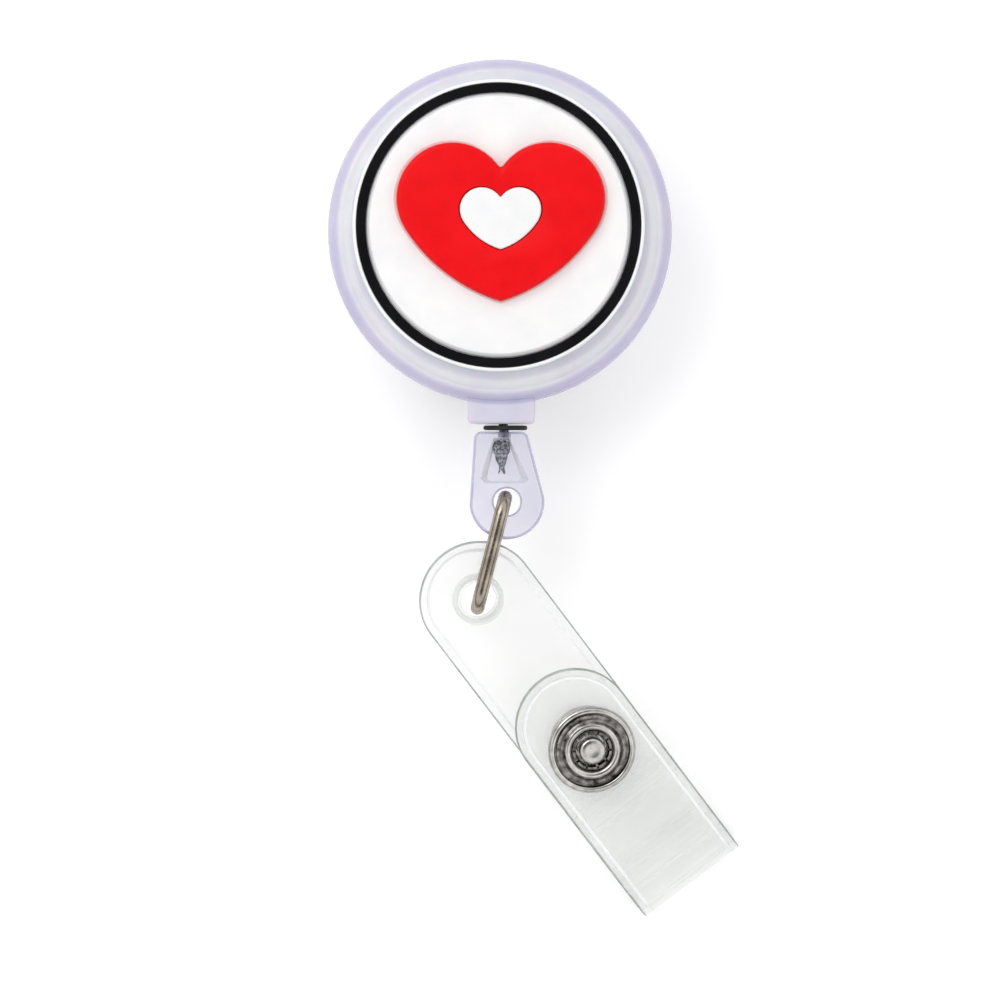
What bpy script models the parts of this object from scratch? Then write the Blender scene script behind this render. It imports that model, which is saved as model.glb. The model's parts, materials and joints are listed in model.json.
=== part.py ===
"""Retractable badge reel with a clear vinyl strap, lying on its back.

Metres, +Z up, +Y towards the top of the casing. The origin is on the clip's flat underside,
on the axis of the casing. Sizes below are in millimetres and pass through mm() where used.
"""
import math

import bmesh
import bpy
from mathutils import Matrix, Vector

# ---- driving dimensions, mm ----
clearance = 0.3           # running gap between pieces that move
glueGap = 0.03            # gap between pieces that are stuck together

clipWidth = 8.0
clipSheet = 0.6           # thickness of the clip's sheet steel
clipOpening = 3.0         # between the two jaws
clipNoseReach = 15.2      # rivet to nose
clipTailReach = 12.6      # rivet to thumb lever's end
clipPinOffset = 4.6       # rivet to hinge pin
clipPinRadius = 0.6
clipSpringWire = 0.22     # radius
clipSpringTurns = 3
earRadius = 1.3           # round end of an ear, about the pin
earReach = 2.4            # half width of an ear at its root
lipReach = 2.9            # half width of the toothed lips at the nose
lipGap = 0.12             # either side of the plane where the lips meet
clipNoseCorner = 0.5      # rounding of the nose's corners
clipNoseMargin = 0.12     # sheet beyond either end of a lip

washerThickness = 0.4
washerRadius = 2.4
rivetShaftRadius = 1.0
rivetHeadRadius = 2.1
rivetHeadHeight = 0.5

casingRadius = 16.0
casingDepth = 7.4
casingWall = 1.2
rimWall = 1.4
backDepth = 3.5           # back of the casing to the parting plane
partingGap = 0.14
lipHeight = 0.9
axleRadius = 2.8
axleBore = 1.9
slotWidth = 0.7

exitWidth = 6.3           # boss that guides the cord out
exitReach = 1.9           # how far it stands out of the casing
exitHeight = 5.0
exitOffset = 0.15         # sideways, from the casing's axis
channelRadius = 0.85
channelFlare = 1.4        # how much wider the channel is at its inner mouth

cordRadius = 0.45
spoolRadius = 13.8
drumRadius = 7.6
drumWall = 0.8
grooveWidth = 2.4
flangeThickness = 0.6
windingRadius = 12.0
springThickness = 0.2
springTurns = 5

charmRadius = 13.5
charmThickness = 1.35     # up to the white outer edge
charmDiscRadius = 12.2
charmDiscRise = 0.6
ringInner = 12.24
ringOuter = 13.15
ringDepth = 0.4
charmOffset = (-0.1, 0.4)
motifWidth = 19.2
motifRise = 1.0
motifEdge = 0.35          # rounding of the motif's edge
inlayWidth = 7.5
inlayDepth = 0.5
inlayProud = 0.15
inlayGap = 0.12
inlayOffset = (0.19, 0.55)
motifOffset = (0.2, 0.25)

washerBlackWidth = 4.1
washerBlackThickness = 0.42
tagGap = 0.14             # exit to washer, washer to tag
tagTopWidth = 5.1
tagLobeRadius = 3.5
tagThickness = 2.4
tagHoleRadius = 1.25
tagHoleX = 0.65           # sideways place of the hole, which is also the centre of the round end
tagReach = 6.55           # top of the tag to the centre of its hole
tagTopX = 0.12            # the tag hangs a little crooked
pocketTop = 1.7           # width of the pocket at its upper end
pocketBottom = 4.9        # top of the tag to the pocket's lower end
knotRadius = 0.68

linkWireRadius = 0.65
holeSpacing = 9.48        # tag's hole to strap's hole
linkHeading = -16.5       # degrees, from straight down towards +X
linkHeight = 5.3          # wire centre to wire centre, across the loop
linkCorner = 1.6
linkOffsetTag = (-0.15, 0.40)      # wire centre from the tag's hole centre
linkOffsetStrap = (-0.05, -0.78)   # wire centre from the strap's hole centre

strapHoleRadius = 1.66
strapWidth = 11.1
strapThickness = 0.55
strapLength = 32.5        # hole to the axis of the fold
seatLength = 7.5          # flat stretch before the fold, where a badge's slot sits
strapHeading = 37.0       # degrees, from straight down towards +X
foldRadius = 1.425        # of the middle of the sheet
flapReach = 23.45         # axis of the fold to the flap's round end
eyeletRadius = 2.4
eyeletRise = 0.2
floorGap = 0.03

snapInset = 8.35          # flap's round end to the middle of the snap
capRadius = 4.15
capCrestRadius = 2.4
capRise = 0.75
snapHoleRadius = 2.0
studHeadRadius = 1.26
studFlangeRadius = 3.4
socketBore = 1.5
socketRadius = 3.1
postRadius = 0.6

# ---- heights and places that follow ----
jawTop = clipSheet
plateBottom = clipSheet + clipOpening
plateTop = plateBottom + clipSheet
washerBottom = plateTop + clearance / 2
casingBack = washerBottom + washerThickness + clearance / 2
floorInside = casingBack + casingWall
cordHeight = casingBack + backDepth
casingFront = casingBack + casingDepth
ceilingInside = casingFront - casingWall
boreRadius = rivetShaftRadius + clearance
pinHeight = plateBottom - clipOpening / 2
innerRadius = casingRadius - rimWall
spoolBottom = cordHeight - grooveWidth / 2 - flangeThickness
spoolTop = cordHeight + grooveWidth / 2 + flangeThickness
spoolBore = axleRadius + clearance
chamberRadius = drumRadius - drumWall
axleTop = spoolTop + 0.3
exitX = exitOffset
exitEnd = -(casingRadius + exitReach)
washerStart = exitEnd - tagGap
tagStart = washerStart - washerBlackThickness - tagGap
charmBottom = casingFront + glueGap
charmTop = charmBottom + charmThickness
discTop = charmTop + charmDiscRise
motifTop = discTop + motifRise

linkAngle = math.radians(linkHeading)
tagHole = (tagHoleX, tagStart - tagReach)
strapHole = (tagHole[0] + holeSpacing * math.sin(linkAngle), tagHole[1] - holeSpacing * math.cos(linkAngle))
linkTop = (tagHole[0] + linkOffsetTag[0], tagHole[1] + linkOffsetTag[1])
linkEnd = (strapHole[0] + linkOffsetStrap[0], strapHole[1] + linkOffsetStrap[1])
flapTip = strapLength - flapReach
flapCentre = flapTip + strapWidth / 2
snapPlace = flapTip + snapInset
flapHeight = 2 * foldRadius       # middle of the flap over the middle of the back layer
half = strapThickness / 2


def strapPitch():
    """Angle that lets the fold's underside touch the surface the reel lies on."""
    drop = cordHeight - foldRadius - half - floorGap
    reach = math.hypot(strapLength, foldRadius)
    return math.asin(drop / reach) + math.atan2(foldRadius, strapLength)


def mm(value):
    return value * 0.001


def point(x, y, z=0.0):
    return Vector((mm(x), mm(y), mm(z)))


# ---- materials ----
def linear(channel):
    value = channel / 255
    return value / 12.92 if value <= 0.04045 else ((value + 0.055) / 1.055) ** 2.4


def material(name, rgb, roughness, metallic=0.0, clear=0.0):
    made = bpy.data.materials.get(name)
    if made:
        return made
    made = bpy.data.materials.new(name)
    made.use_nodes = True
    shader = made.node_tree.nodes["Principled BSDF"]
    colour = tuple(linear(c) for c in rgb)
    shader.inputs["Base Color"].default_value = (*colour, 1)
    shader.inputs["Roughness"].default_value = roughness
    shader.inputs["Metallic"].default_value = metallic
    shader.inputs["Transmission Weight"].default_value = clear
    made.diffuse_color = (*colour, 1)
    return made


def shellPlastic():
    return material("shell_plastic", (226, 224, 240), 0.35)


def nickel():
    return material("nickel", (190, 182, 172), 0.25, 1.0)


def clearVinyl():
    return material("clear_vinyl", (233, 238, 232), 0.2, 0.0, 0.6)


def cordFibre():
    return material("cord_fibre", (40, 40, 44), 0.8)


# ---- modelling helpers ----
def collection(name):
    made = bpy.data.collections.get(name)
    if not made:
        made = bpy.data.collections.new(name)
        bpy.context.scene.collection.children.link(made)
    return made


def add(name, data, finish=None, parent=None, folder="badge_reel"):
    made = bpy.data.objects.new(name, data)
    collection(folder).objects.link(made)
    if finish:
        data.materials.clear()
        data.materials.append(finish)
    if parent:
        made.parent = parent
    return made


def empty(name, place, turn=(0, 0, 0), parent=None):
    made = add(name, None, parent=parent)
    made.location = place
    made.rotation_euler = turn
    return made


def meshFrom(build, name):
    shape = bmesh.new()
    build(shape)
    mesh = bpy.data.meshes.new(name)
    shape.to_mesh(mesh)
    shape.free()
    return mesh


def settled(made):
    """Turns a curve, or an object with modifiers, into a plain mesh in the same place."""
    bpy.context.view_layer.update()
    seen = made.evaluated_get(bpy.context.evaluated_depsgraph_get())
    mesh = bpy.data.meshes.new_from_object(seen)
    shape = bmesh.new()
    shape.from_mesh(mesh)
    bmesh.ops.remove_doubles(shape, verts=shape.verts, dist=1e-6)
    shape.to_mesh(mesh)
    shape.free()
    name, finish, parent = made.name, made.active_material, made.parent
    folder = made.users_collection[0].name
    place, turn = made.location.copy(), made.rotation_euler.copy()
    bpy.data.objects.remove(made)
    new = add(name, mesh, finish, parent, folder)
    new.location = place
    new.rotation_euler = turn
    return new


def turned(name, profile, finish=None, parent=None, folder="badge_reel", steps=64, ring=False):
    """Turns a profile of (radius, height) points about Z. A ring's profile is a closed loop."""
    def build(shape):
        verts = [shape.verts.new(point(r, 0, z)) for r, z in profile]
        for a, b in zip(verts, verts[1:]):
            shape.edges.new((a, b))
        if ring:
            shape.edges.new((verts[-1], verts[0]))
    made = add(name, meshFrom(build, name), finish, parent, folder)
    screw = made.modifiers.new("turn", "SCREW")
    screw.steps = screw.render_steps = steps
    screw.use_merge_vertices = True
    screw.merge_threshold = 0.00001
    return made


def plate(name, outline, bottom, top, finish=None, parent=None, folder="badge_reel", holes=()):
    """A flat outline with holes, extruded between two heights."""
    curve = bpy.data.curves.new(name, "CURVE")
    curve.dimensions = "2D"
    curve.fill_mode = "BOTH"
    curve.extrude = mm(top - bottom) / 2
    for loop in (outline, *holes):
        spline = curve.splines.new("POLY")
        spline.points.add(len(loop) - 1)
        for spot, (x, y) in zip(spline.points, loop):
            spot.co = (mm(x), mm(y), 0, 1)
        spline.use_cyclic_u = True
    made = add(name, curve, finish, parent, folder)
    made.location = (0, 0, mm(top + bottom) / 2)
    return settled(made)


def wire(name, points, radius, finish=None, parent=None, cyclic=False, folder="badge_reel", sides=2):
    curve = bpy.data.curves.new(name, "CURVE")
    curve.dimensions = "3D"
    curve.bevel_depth = mm(radius)
    curve.bevel_resolution = sides
    curve.use_fill_caps = True
    spline = curve.splines.new("POLY")
    spline.points.add(len(points) - 1)
    for spot, place in zip(spline.points, points):
        spot.co = (*point(*place), 1)
    spline.use_cyclic_u = cyclic
    return settled(add(name, curve, finish, parent, folder))


def box(name, low, high, finish=None, parent=None, folder="badge_reel"):
    low, high = Vector(low), Vector(high)
    size = high - low
    middle = (high + low) / 2

    def build(shape):
        bmesh.ops.create_cube(shape, size=1)
        bmesh.ops.scale(shape, vec=Vector([mm(v) for v in size]), verts=shape.verts)
        bmesh.ops.translate(shape, vec=point(*middle), verts=shape.verts)
    return add(name, meshFrom(build, name), finish, parent, folder)


def rod(name, start, end, radius, finish=None, parent=None, folder="badge_reel", radiusEnd=None, sides=32):
    """A cylinder or cone between two points."""
    a, b = point(*start), point(*end)
    aim = (b - a).to_track_quat("Z", "Y").to_matrix().to_4x4()
    last = radius if radiusEnd is None else radiusEnd

    def build(shape):
        bmesh.ops.create_cone(shape, cap_ends=True, segments=sides, radius1=mm(radius), radius2=mm(last),
                              depth=(b - a).length, matrix=Matrix.Translation((a + b) / 2) @ aim)
    return add(name, meshFrom(build, name), finish, parent, folder)


def shape(made, tool, how="DIFFERENCE"):
    """Cuts a piece with a tool, or joins the tool to it."""
    tool.hide_render = True
    tool.display_type = "WIRE"
    cut = made.modifiers.new(how.lower(), "BOOLEAN")
    cut.operation = how
    cut.object = tool
    cut.solver = "EXACT"
    return made


def rounded(made, width, segments=2, angle=35):
    edge = made.modifiers.new("round", "BEVEL")
    edge.width = mm(width)
    edge.segments = segments
    edge.limit_method = "ANGLE"
    edge.angle_limit = math.radians(angle)
    return made


def arc(centre, radius, start, end, count):
    """Points along an arc, angles in degrees."""
    angles = [math.radians(start + (end - start) * i / count) for i in range(count + 1)]
    return [(centre[0] + radius * math.cos(a), centre[1] + radius * math.sin(a)) for a in angles]


def circle(centre, radius, count=32):
    return arc(centre, radius, 0, 360, count)[:-1]


def heart(width, middle):
    """Two round lobes and two flatter arcs that meet in a point, centred on its own height."""
    lobe, flank, join = 0.27 * width, 0.84 * width, math.radians(-33)
    lobeX = width / 2 - lobe
    flankX = lobeX - (flank - lobe) * math.cos(join)
    flankY = -(flank - lobe) * math.sin(join)
    tip = math.degrees(math.asin(-flankX / flank)) - 90
    notch = math.degrees(math.acos(-lobeX / lobe))
    right = arc((flankX, flankY), flank, tip, math.degrees(join), 8)
    right += arc((lobeX, 0), lobe, math.degrees(join), notch, 12)[1:]
    left = [(-x, y) for x, y in right[::-1]][1:-1]
    low, high = right[0][1], lobe
    return [(middle[0] + x, middle[1] + y - (low + high) / 2) for x, y in right + left]


# ---- casing ----
def exitBlock(name, low, high, parent):
    """Half of the boss that the cord leaves through, rooted inside the casing's wall."""
    side = exitWidth / 2
    made = box(name, (exitX - side, exitEnd, low), (exitX + side, -innerRadius - 0.4, high),
               parent=parent, folder="cutters")
    return rounded(made, 0.35)


def channelCutters(name, parent):
    start = -innerRadius + 0.6
    mouth = -casingRadius - 0.4
    bore = rod(name + "_bore", (exitX, start, cordHeight), (exitX, exitEnd - 1, cordHeight),
               channelRadius, parent=parent, folder="cutters", sides=24)
    flare = rod(name + "_flare", (exitX, start, cordHeight), (exitX, mouth, cordHeight),
                channelRadius + channelFlare, parent=parent, folder="cutters",
                radiusEnd=channelRadius * 0.9, sides=24)
    return bore, flare


def backShell(parent):
    top = cordHeight - partingGap / 2
    lipOuter = casingRadius - rimWall / 2 - partingGap / 2
    profile = [
        (innerRadius, top + lipHeight), (lipOuter, top + lipHeight), (lipOuter, top),
        (casingRadius, top), (casingRadius, casingBack + 1.2), (casingRadius - 0.35, casingBack + 0.35),
        (casingRadius - 1.2, casingBack), (boreRadius, casingBack), (boreRadius, floorInside),
        (axleBore, floorInside), (axleBore, axleTop), (axleRadius, axleTop),
        (axleRadius, spoolBottom - clearance), (axleRadius + 1.2, spoolBottom - clearance),
        (axleRadius + 1.2, floorInside), (innerRadius, floorInside),
    ]
    made = turned("back_shell", profile, shellPlastic(), parent, steps=72, ring=True)
    low = cordHeight - exitHeight / 2
    shape(made, exitBlock("exit_back", low, top, parent), "UNION")
    for cutter in channelCutters("channel_back", parent):
        shape(made, cutter)
    slot = box("axle_slot", (0, -slotWidth / 2, spoolBottom), (axleRadius + 0.5, slotWidth / 2, axleTop + 1),
               parent=parent, folder="cutters")
    lipNotch = box("lip_notch", (exitX - exitWidth / 2, -casingRadius + rimWall / 2 + partingGap / 2 + 0.01, top),
                   (exitX + exitWidth / 2, -innerRadius + 1, top + lipHeight + 1),
                   parent=parent, folder="cutters")
    shape(made, slot)
    return shape(made, lipNotch)


def frontShell(parent):
    bottom = cordHeight + partingGap / 2
    lipTop = bottom + lipHeight + partingGap
    lipInner = casingRadius - rimWall / 2 + partingGap / 2
    spigot = axleBore - clearance
    profile = [
        (0, casingFront), (casingRadius - 2.0, casingFront), (casingRadius - 1.3, casingFront - 0.25),
        (casingRadius - 0.6, casingFront - 0.85), (casingRadius - 0.15, casingFront - 1.7),
        (casingRadius, casingFront - 2.6), (casingRadius, bottom), (lipInner, bottom), (lipInner, lipTop),
        (innerRadius, lipTop), (innerRadius, ceilingInside - 1.1),
        (innerRadius - 0.3, ceilingInside - 0.4), (innerRadius - 1.0, ceilingInside),
        (spigot, ceilingInside), (spigot, axleTop - 0.9), (0, axleTop - 0.9),
    ]
    made = turned("front_shell", profile, shellPlastic(), parent, steps=72)
    high = cordHeight + exitHeight / 2
    block = exitBlock("exit_front", bottom, high, parent)
    shape(made, block, "UNION")
    for cutter in channelCutters("channel_front", parent):
        shape(made, cutter)
    return made


# ---- spool, spring and cord ----
def spool(parent):
    low = spoolBottom + flangeThickness
    high = spoolTop - flangeThickness
    profile = [
        (chamberRadius, spoolTop), (spoolRadius, spoolTop), (spoolRadius, high), (drumRadius, high),
        (drumRadius, low), (spoolRadius, low), (spoolRadius, spoolBottom), (spoolBore, spoolBottom),
        (spoolBore, low), (chamberRadius, low),
    ]
    made = turned("spool", profile, material("spool_plastic", (238, 238, 240), 0.5), parent, steps=56, ring=True)
    catch = box("spring_catch", (-chamberRadius - drumWall * 0.75, -slotWidth / 2, low),
                (-chamberRadius + 0.3, slotWidth / 2, spoolTop + 1), parent=parent, folder="cutters")
    return shape(made, catch)


def powerSpring(parent):
    """Flat strip wound in a spiral, its ends hooked into the axle's slot and the drum's catch."""
    inner = axleRadius + clearance + 0.1
    outer = chamberRadius - clearance
    turns = springTurns + 0.5
    count = springTurns * 16 + 8
    path = [(axleBore + 0.35, 0.0), (axleRadius, 0.0)]
    for i in range(count + 1):
        angle = 2 * math.pi * turns * i / count
        radius = inner + (outer - inner) * i / count
        path.append((radius * math.cos(angle), radius * math.sin(angle)))
    path.append((-chamberRadius - drumWall * 0.4, 0.0))
    curve = bpy.data.curves.new("power_spring", "CURVE")
    curve.dimensions = "3D"
    curve.twist_mode = "Z_UP"
    curve.extrude = mm((spoolTop - spoolBottom - flangeThickness) / 2 - clearance)
    spline = curve.splines.new("POLY")
    spline.points.add(len(path) - 1)
    for spot, (x, y) in zip(spline.points, path):
        spot.co = (mm(x), mm(y), 0, 1)
    steel = material("spring_steel", (120, 122, 128), 0.3, 1.0)
    made = add("power_spring", curve, steel, parent)
    made.location = (0, 0, mm((spoolTop + spoolBottom + flangeThickness) / 2))
    made = settled(made)
    strip = made.modifiers.new("strip", "SOLIDIFY")
    strip.thickness = mm(springThickness)
    strip.offset = 0
    return made


def cordWinding(parent):
    """Outer shape of the turns on the drum, with a dip between neighbouring turns."""
    low = cordHeight - grooveWidth / 2 + 0.3
    high = cordHeight + grooveWidth / 2 - 0.3
    start = drumRadius + clearance
    turns = max(2, round((windingRadius - start) / (2 * cordRadius)))
    step = (windingRadius - start) / turns
    dip = 0.18
    top = [(start, high - dip)]
    for i in range(turns):
        top.append((start + (i + 0.5) * step, high))
        top.append((start + (i + 1) * step, high - dip))
    bottom = [(radius, 2 * cordHeight - height) for radius, height in top]
    return turned("cord_winding", top + bottom[::-1], cordFibre(), parent, steps=36, ring=True)


def tangentPoint(radius, x, y):
    """Where a line from (x, y) touches the lower left of a circle about the axis."""
    angle = math.atan2(y, x) - math.acos(radius / math.hypot(x, y))
    return radius * math.cos(angle), radius * math.sin(angle)


def cordLead(parent):
    bendX = exitX - 0.35
    bendY = -innerRadius - 0.3
    startX, startY = tangentPoint(windingRadius + cordRadius + 0.15, bendX, bendY)
    count = 6
    path = [(startX + (bendX - startX) * i / count, startY + (bendY - startY) * i / count)
            for i in range(count)]
    path += [(bendX - 0.1, bendY + 0.06), (bendX + 0.22, bendY - 0.3), (exitX + 0.05, bendY - 0.85),
             (exitX + 0.12, bendY - 1.6), (exitX + 0.15, exitEnd), (exitX + 0.22, tagStart),
             (exitX + 0.26, tagStart - pocketTop * 0.45)]
    return wire("cord_lead", [(x, y, cordHeight) for x, y in path], cordRadius, cordFibre(), parent)


# ---- clip ----
def clipEar(name, x, root, parent):
    """Ear of sheet steel at x..x+clipSheet: a tab from its root to a round end about the pin."""
    hangs = root > pinHeight
    start = 180 if hangs else 0
    reach = earReach if hangs else -earReach
    outline = arc((0, pinHeight), earRadius, start, start + 180, 10) + [(reach, root), (-reach, root)]
    made = plate(name, outline, x, x + clipSheet, parent=parent, folder="cutters",
                 holes=[circle((0, pinHeight), clipPinRadius + clearance / 2, 16)])
    made.rotation_euler = (math.radians(90), 0, math.radians(90))
    made.location = (made.location.z, mm(clipPinOffset), 0)
    return made


def noseTeeth(name, edge, parent):
    """Row of notches along the edge of a jaw's lip."""
    count = 5
    pitch = 2 * lipReach / count
    tools = []
    for i in range(count - 1):
        x = (i + 1 - count / 2) * pitch
        tool = rod(f"{name}_{i}", (x, -clipNoseReach - 1, edge), (x, -clipNoseReach + 2, edge),
                   pitch * 0.42, parent=parent, folder="cutters", sides=4)
        tools.append(tool)
    return tools


def clipOutline(tail):
    side = clipWidth / 2
    shoulder = -clipNoseReach * 0.6
    across = lipReach + clipNoseMargin - clipNoseCorner
    down = -clipNoseReach + clipNoseCorner
    nose = arc((-across, down), clipNoseCorner, 180, 270, 4) + arc((across, down), clipNoseCorner, 270, 360, 4)
    end = arc((0, tail - side), side, 0, 180, 12)
    return [(-side, 0), (-side, shoulder)] + nose + [(side, shoulder), (side, 0)] + end


def clipPlate(parent):
    made = plate("clip_plate", clipOutline(clipTailReach - 1.5), plateBottom, plateTop, nickel(), parent,
                 holes=[circle((0, 0), boreRadius, 24)])
    lip = box("plate_lip", (-lipReach, -clipNoseReach + 0.05, pinHeight + lipGap),
              (lipReach, -clipNoseReach + 0.05 + clipSheet, plateTop - 0.1), parent=parent, folder="cutters")
    shape(made, lip, "UNION")
    for sign in (-1, 1):
        x = clipWidth / 2 - clipSheet if sign > 0 else -clipWidth / 2
        shape(made, clipEar(f"plate_ear_{sign}", x, plateTop - 0.1, parent), "UNION")
    for tool in noseTeeth("plate_tooth", pinHeight + lipGap, parent):
        shape(made, tool)
    return made


def clipJaw(parent):
    made = plate("clip_jaw", clipOutline(clipTailReach), 0, clipSheet, nickel(), parent)
    lip = box("jaw_lip", (-lipReach, -clipNoseReach + 0.05, 0.1),
              (lipReach, -clipNoseReach + 0.05 + clipSheet, pinHeight - lipGap), parent=parent, folder="cutters")
    shape(made, lip, "UNION")
    for sign in (-1, 1):
        inset = clipWidth / 2 - clipSheet - clearance
        x = inset - clipSheet if sign > 0 else -inset
        shape(made, clipEar(f"jaw_ear_{sign}", x, 0.1, parent), "UNION")
    for tool in noseTeeth("jaw_tooth", pinHeight - lipGap, parent):
        shape(made, tool)
    return made


def hingePin(parent):
    side = clipWidth / 2
    head = 0.35
    profile = [(0, side + clearance / 2 + head), (0.7, side + clearance / 2 + head),
               (1.0, side + clearance / 2 + head * 0.5), (1.0, side + clearance / 2),
               (clipPinRadius, side + clearance / 2)]
    profile += [(radius, -height) for radius, height in profile[::-1]]
    made = turned("clip_hinge_pin", profile, nickel(), parent, steps=24)
    made.rotation_euler = (0, math.radians(90), 0)
    made.location = point(0, clipPinOffset, pinHeight)
    return made


def clipSpring(parent):
    """Coil about the pin, with a leg on each jaw."""
    coil = clipPinRadius + clearance * 0.7 + clipSpringWire
    wide = clipWidth / 2 - 2 * clipSheet - 2 * clearance - clipSpringWire
    reach = clipTailReach - clipPinOffset - 3.5
    turns = clipSpringTurns + 0.5
    count = round(turns * 12)
    lowLeg = clipSheet + clearance * 0.6 + clipSpringWire
    highLeg = plateBottom - clearance * 0.6 - clipSpringWire
    path = [(-wide, clipPinOffset + reach, highLeg)]
    for i in range(count + 1):
        angle = math.pi / 2 - 2 * math.pi * turns * i / count
        x = -wide + 2 * wide * i / count
        path.append((x, clipPinOffset + coil * math.cos(angle), pinHeight + coil * math.sin(angle)))
    path.append((wide, clipPinOffset + reach, lowLeg))
    return wire("clip_spring", path, clipSpringWire, material("spring_steel", (120, 122, 128), 0.3, 1.0),
                parent)


def swivelRivet(parent):
    headTop = plateBottom - clearance / 2
    headBottom = headTop - rivetHeadHeight
    peenBottom = floorInside + clearance / 2
    peen = axleBore - clearance
    profile = [
        (0, peenBottom + 0.5), (peen * 0.6, peenBottom + 0.5), (peen, peenBottom + 0.25), (peen, peenBottom),
        (rivetShaftRadius, peenBottom), (rivetShaftRadius, headTop), (rivetHeadRadius, headTop),
        (rivetHeadRadius, headTop - 0.2), (rivetHeadRadius * 0.7, headBottom), (0, headBottom),
    ]
    return turned("swivel_rivet", profile, nickel(), parent, steps=32)


def swivelWasher(parent):
    top = washerBottom + washerThickness
    profile = [(boreRadius, top), (washerRadius, top), (washerRadius, washerBottom), (boreRadius, washerBottom)]
    return turned("swivel_washer", profile, material("nylon", (235, 235, 230), 0.5), parent, steps=32, ring=True)


# ---- charm ----
def charmBase(parent):
    floor = charmTop - ringDepth
    inner = charmDiscRadius
    outer = ringOuter + 0.08
    profile = [
        (0, discTop), (inner - 0.25, discTop), (inner, discTop - 0.2), (inner, floor), (outer, floor),
        (outer, charmTop), (charmRadius - 0.12, charmTop), (charmRadius, charmTop - 0.15),
        (charmRadius, charmBottom), (0, charmBottom),
    ]
    white = material("charm_white", (250, 252, 250), 0.3)
    return turned("charm_base", profile, white, parent, steps=56)


def charmRing(parent):
    floor = charmTop - ringDepth + glueGap
    inner = ringInner + 0.08
    profile = [(inner, charmTop), (ringOuter, charmTop), (ringOuter, floor), (inner, floor)]
    return turned("charm_ring", profile, material("charm_black", (17, 16, 22), 0.3), parent, steps=56, ring=True)


def charmMotif(parent):
    red = material("charm_red", (246, 18, 28), 0.3)
    made = plate("charm_motif", heart(motifWidth, motifOffset), discTop + glueGap, motifTop, red, parent)
    rounded(made, motifEdge, 3, 60)
    seat = plate("inlay_seat", heart(inlayWidth + 2 * inlayGap, inlayOffset), motifTop - inlayDepth,
                 motifTop + 1, parent=parent, folder="cutters")
    return shape(made, seat)


def charmInlay(parent):
    white = material("charm_white", (250, 252, 250), 0.3)
    made = plate("charm_inlay", heart(inlayWidth, inlayOffset), motifTop - inlayDepth + glueGap,
                 motifTop + inlayProud, white, parent)
    return rounded(made, 0.12, 1, 60)


# ---- tag and link ----
def stopWasher(parent):
    side = washerBlackWidth / 2
    x = exitX + 0.35
    made = rod("stop_washer", (x, washerStart, cordHeight), (x, washerStart - washerBlackThickness, cordHeight),
               side, material("black_rubber", (20, 20, 24), 0.7), parent)
    bore = rod("stop_bore", (exitX + 0.17, washerStart + 1, cordHeight),
               (exitX + 0.17, washerStart - 2, cordHeight), cordRadius + clearance,
               parent=parent, folder="cutters", sides=20)
    return shape(made, bore)


def cordTag(parent):
    side = tagTopWidth / 2
    corner = 0.7
    x, y = tagHole
    spread = tagLobeRadius - side
    angle = math.degrees(math.atan2(spread, tagStart - y)) * 0.9
    outline = arc((tagTopX - side + corner, tagStart - corner), corner, 180 - angle, 90, 4)
    outline += arc((tagTopX + side - corner, tagStart - corner), corner, 90, angle, 4)
    outline += arc((x, y), tagLobeRadius, angle, -180 - angle, 26)
    low = cordHeight - tagThickness / 2
    high = cordHeight + tagThickness / 2
    made = plate("cord_tag", outline[::-1], low, high, material("clear_lilac", (214, 212, 232), 0.15, 0.0, 0.6),
                 parent, holes=[circle((x, y), tagHoleRadius, 28)])
    rounded(made, 0.25, 2, 50)
    pocketFloor = cordHeight - knotRadius - clearance / 2
    top = tagStart - 0.75
    bottom = tagStart - pocketBottom
    pocket = [(tagTopX - pocketTop / 2, top), (tagTopX + 0.2 - 1.5, bottom + 0.45), (tagTopX + 0.65 - 1.6, bottom),
              (tagTopX + 0.25 + 1.6, bottom), (tagTopX + 0.4 + 2.0, bottom + 0.45), (tagTopX + 0.1 + pocketTop / 2, top)]
    knife = plate("tag_pocket", pocket, pocketFloor, high + 1, parent=parent, folder="cutters")
    bore = rod("tag_bore", (exitX + 0.24, tagStart + 1, cordHeight), (exitX + 0.24, top - 0.6, cordHeight),
               cordRadius + 0.25, parent=parent, folder="cutters", sides=20)
    shape(made, knife)
    return shape(made, bore)


def cordKnot(parent):
    """Knotted end of the cord: three bulges and a frayed tail."""
    start = tagStart - pocketTop * 0.45 - 0.35
    profile = [(0, 0), (0.42, -0.04), (0.6, -0.28), (0.55, -0.52), (knotRadius, -0.85), (0.6, -1.15),
               (0.66, -1.45), (0.45, -1.75), (0.2, -1.95), (0.16, -2.4), (0, -2.5)]
    made = turned("cord_knot", profile, cordFibre(), parent, steps=16)
    made.rotation_euler = (math.radians(-90), 0, math.radians(0))
    made.location = point(exitX + 0.28, start, cordHeight)
    return made


def linkRing(parent):
    """Oval loop of wire, standing in a vertical plane through both holes."""
    along = Vector((linkEnd[0] - linkTop[0], linkEnd[1] - linkTop[1]))
    length = along.length
    along.normalize()
    rise = linkHeight / 2
    side = [(length - linkCorner, 90, 0), (length - linkCorner, 0, -90), (linkCorner, -90, -180),
            (linkCorner, -180, -270)]
    path = []
    for centre, start, end in side:
        up = rise - linkCorner if end in (0, -270) or start == 90 else -(rise - linkCorner)
        path += arc((centre, up), linkCorner, start, end, 6)
    loop = [(linkTop[0] + along.x * s, linkTop[1] + along.y * s, cordHeight + z) for s, z in path]
    return wire("link_ring", loop, linkWireRadius, nickel(), parent, cyclic=True, sides=3)


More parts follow.
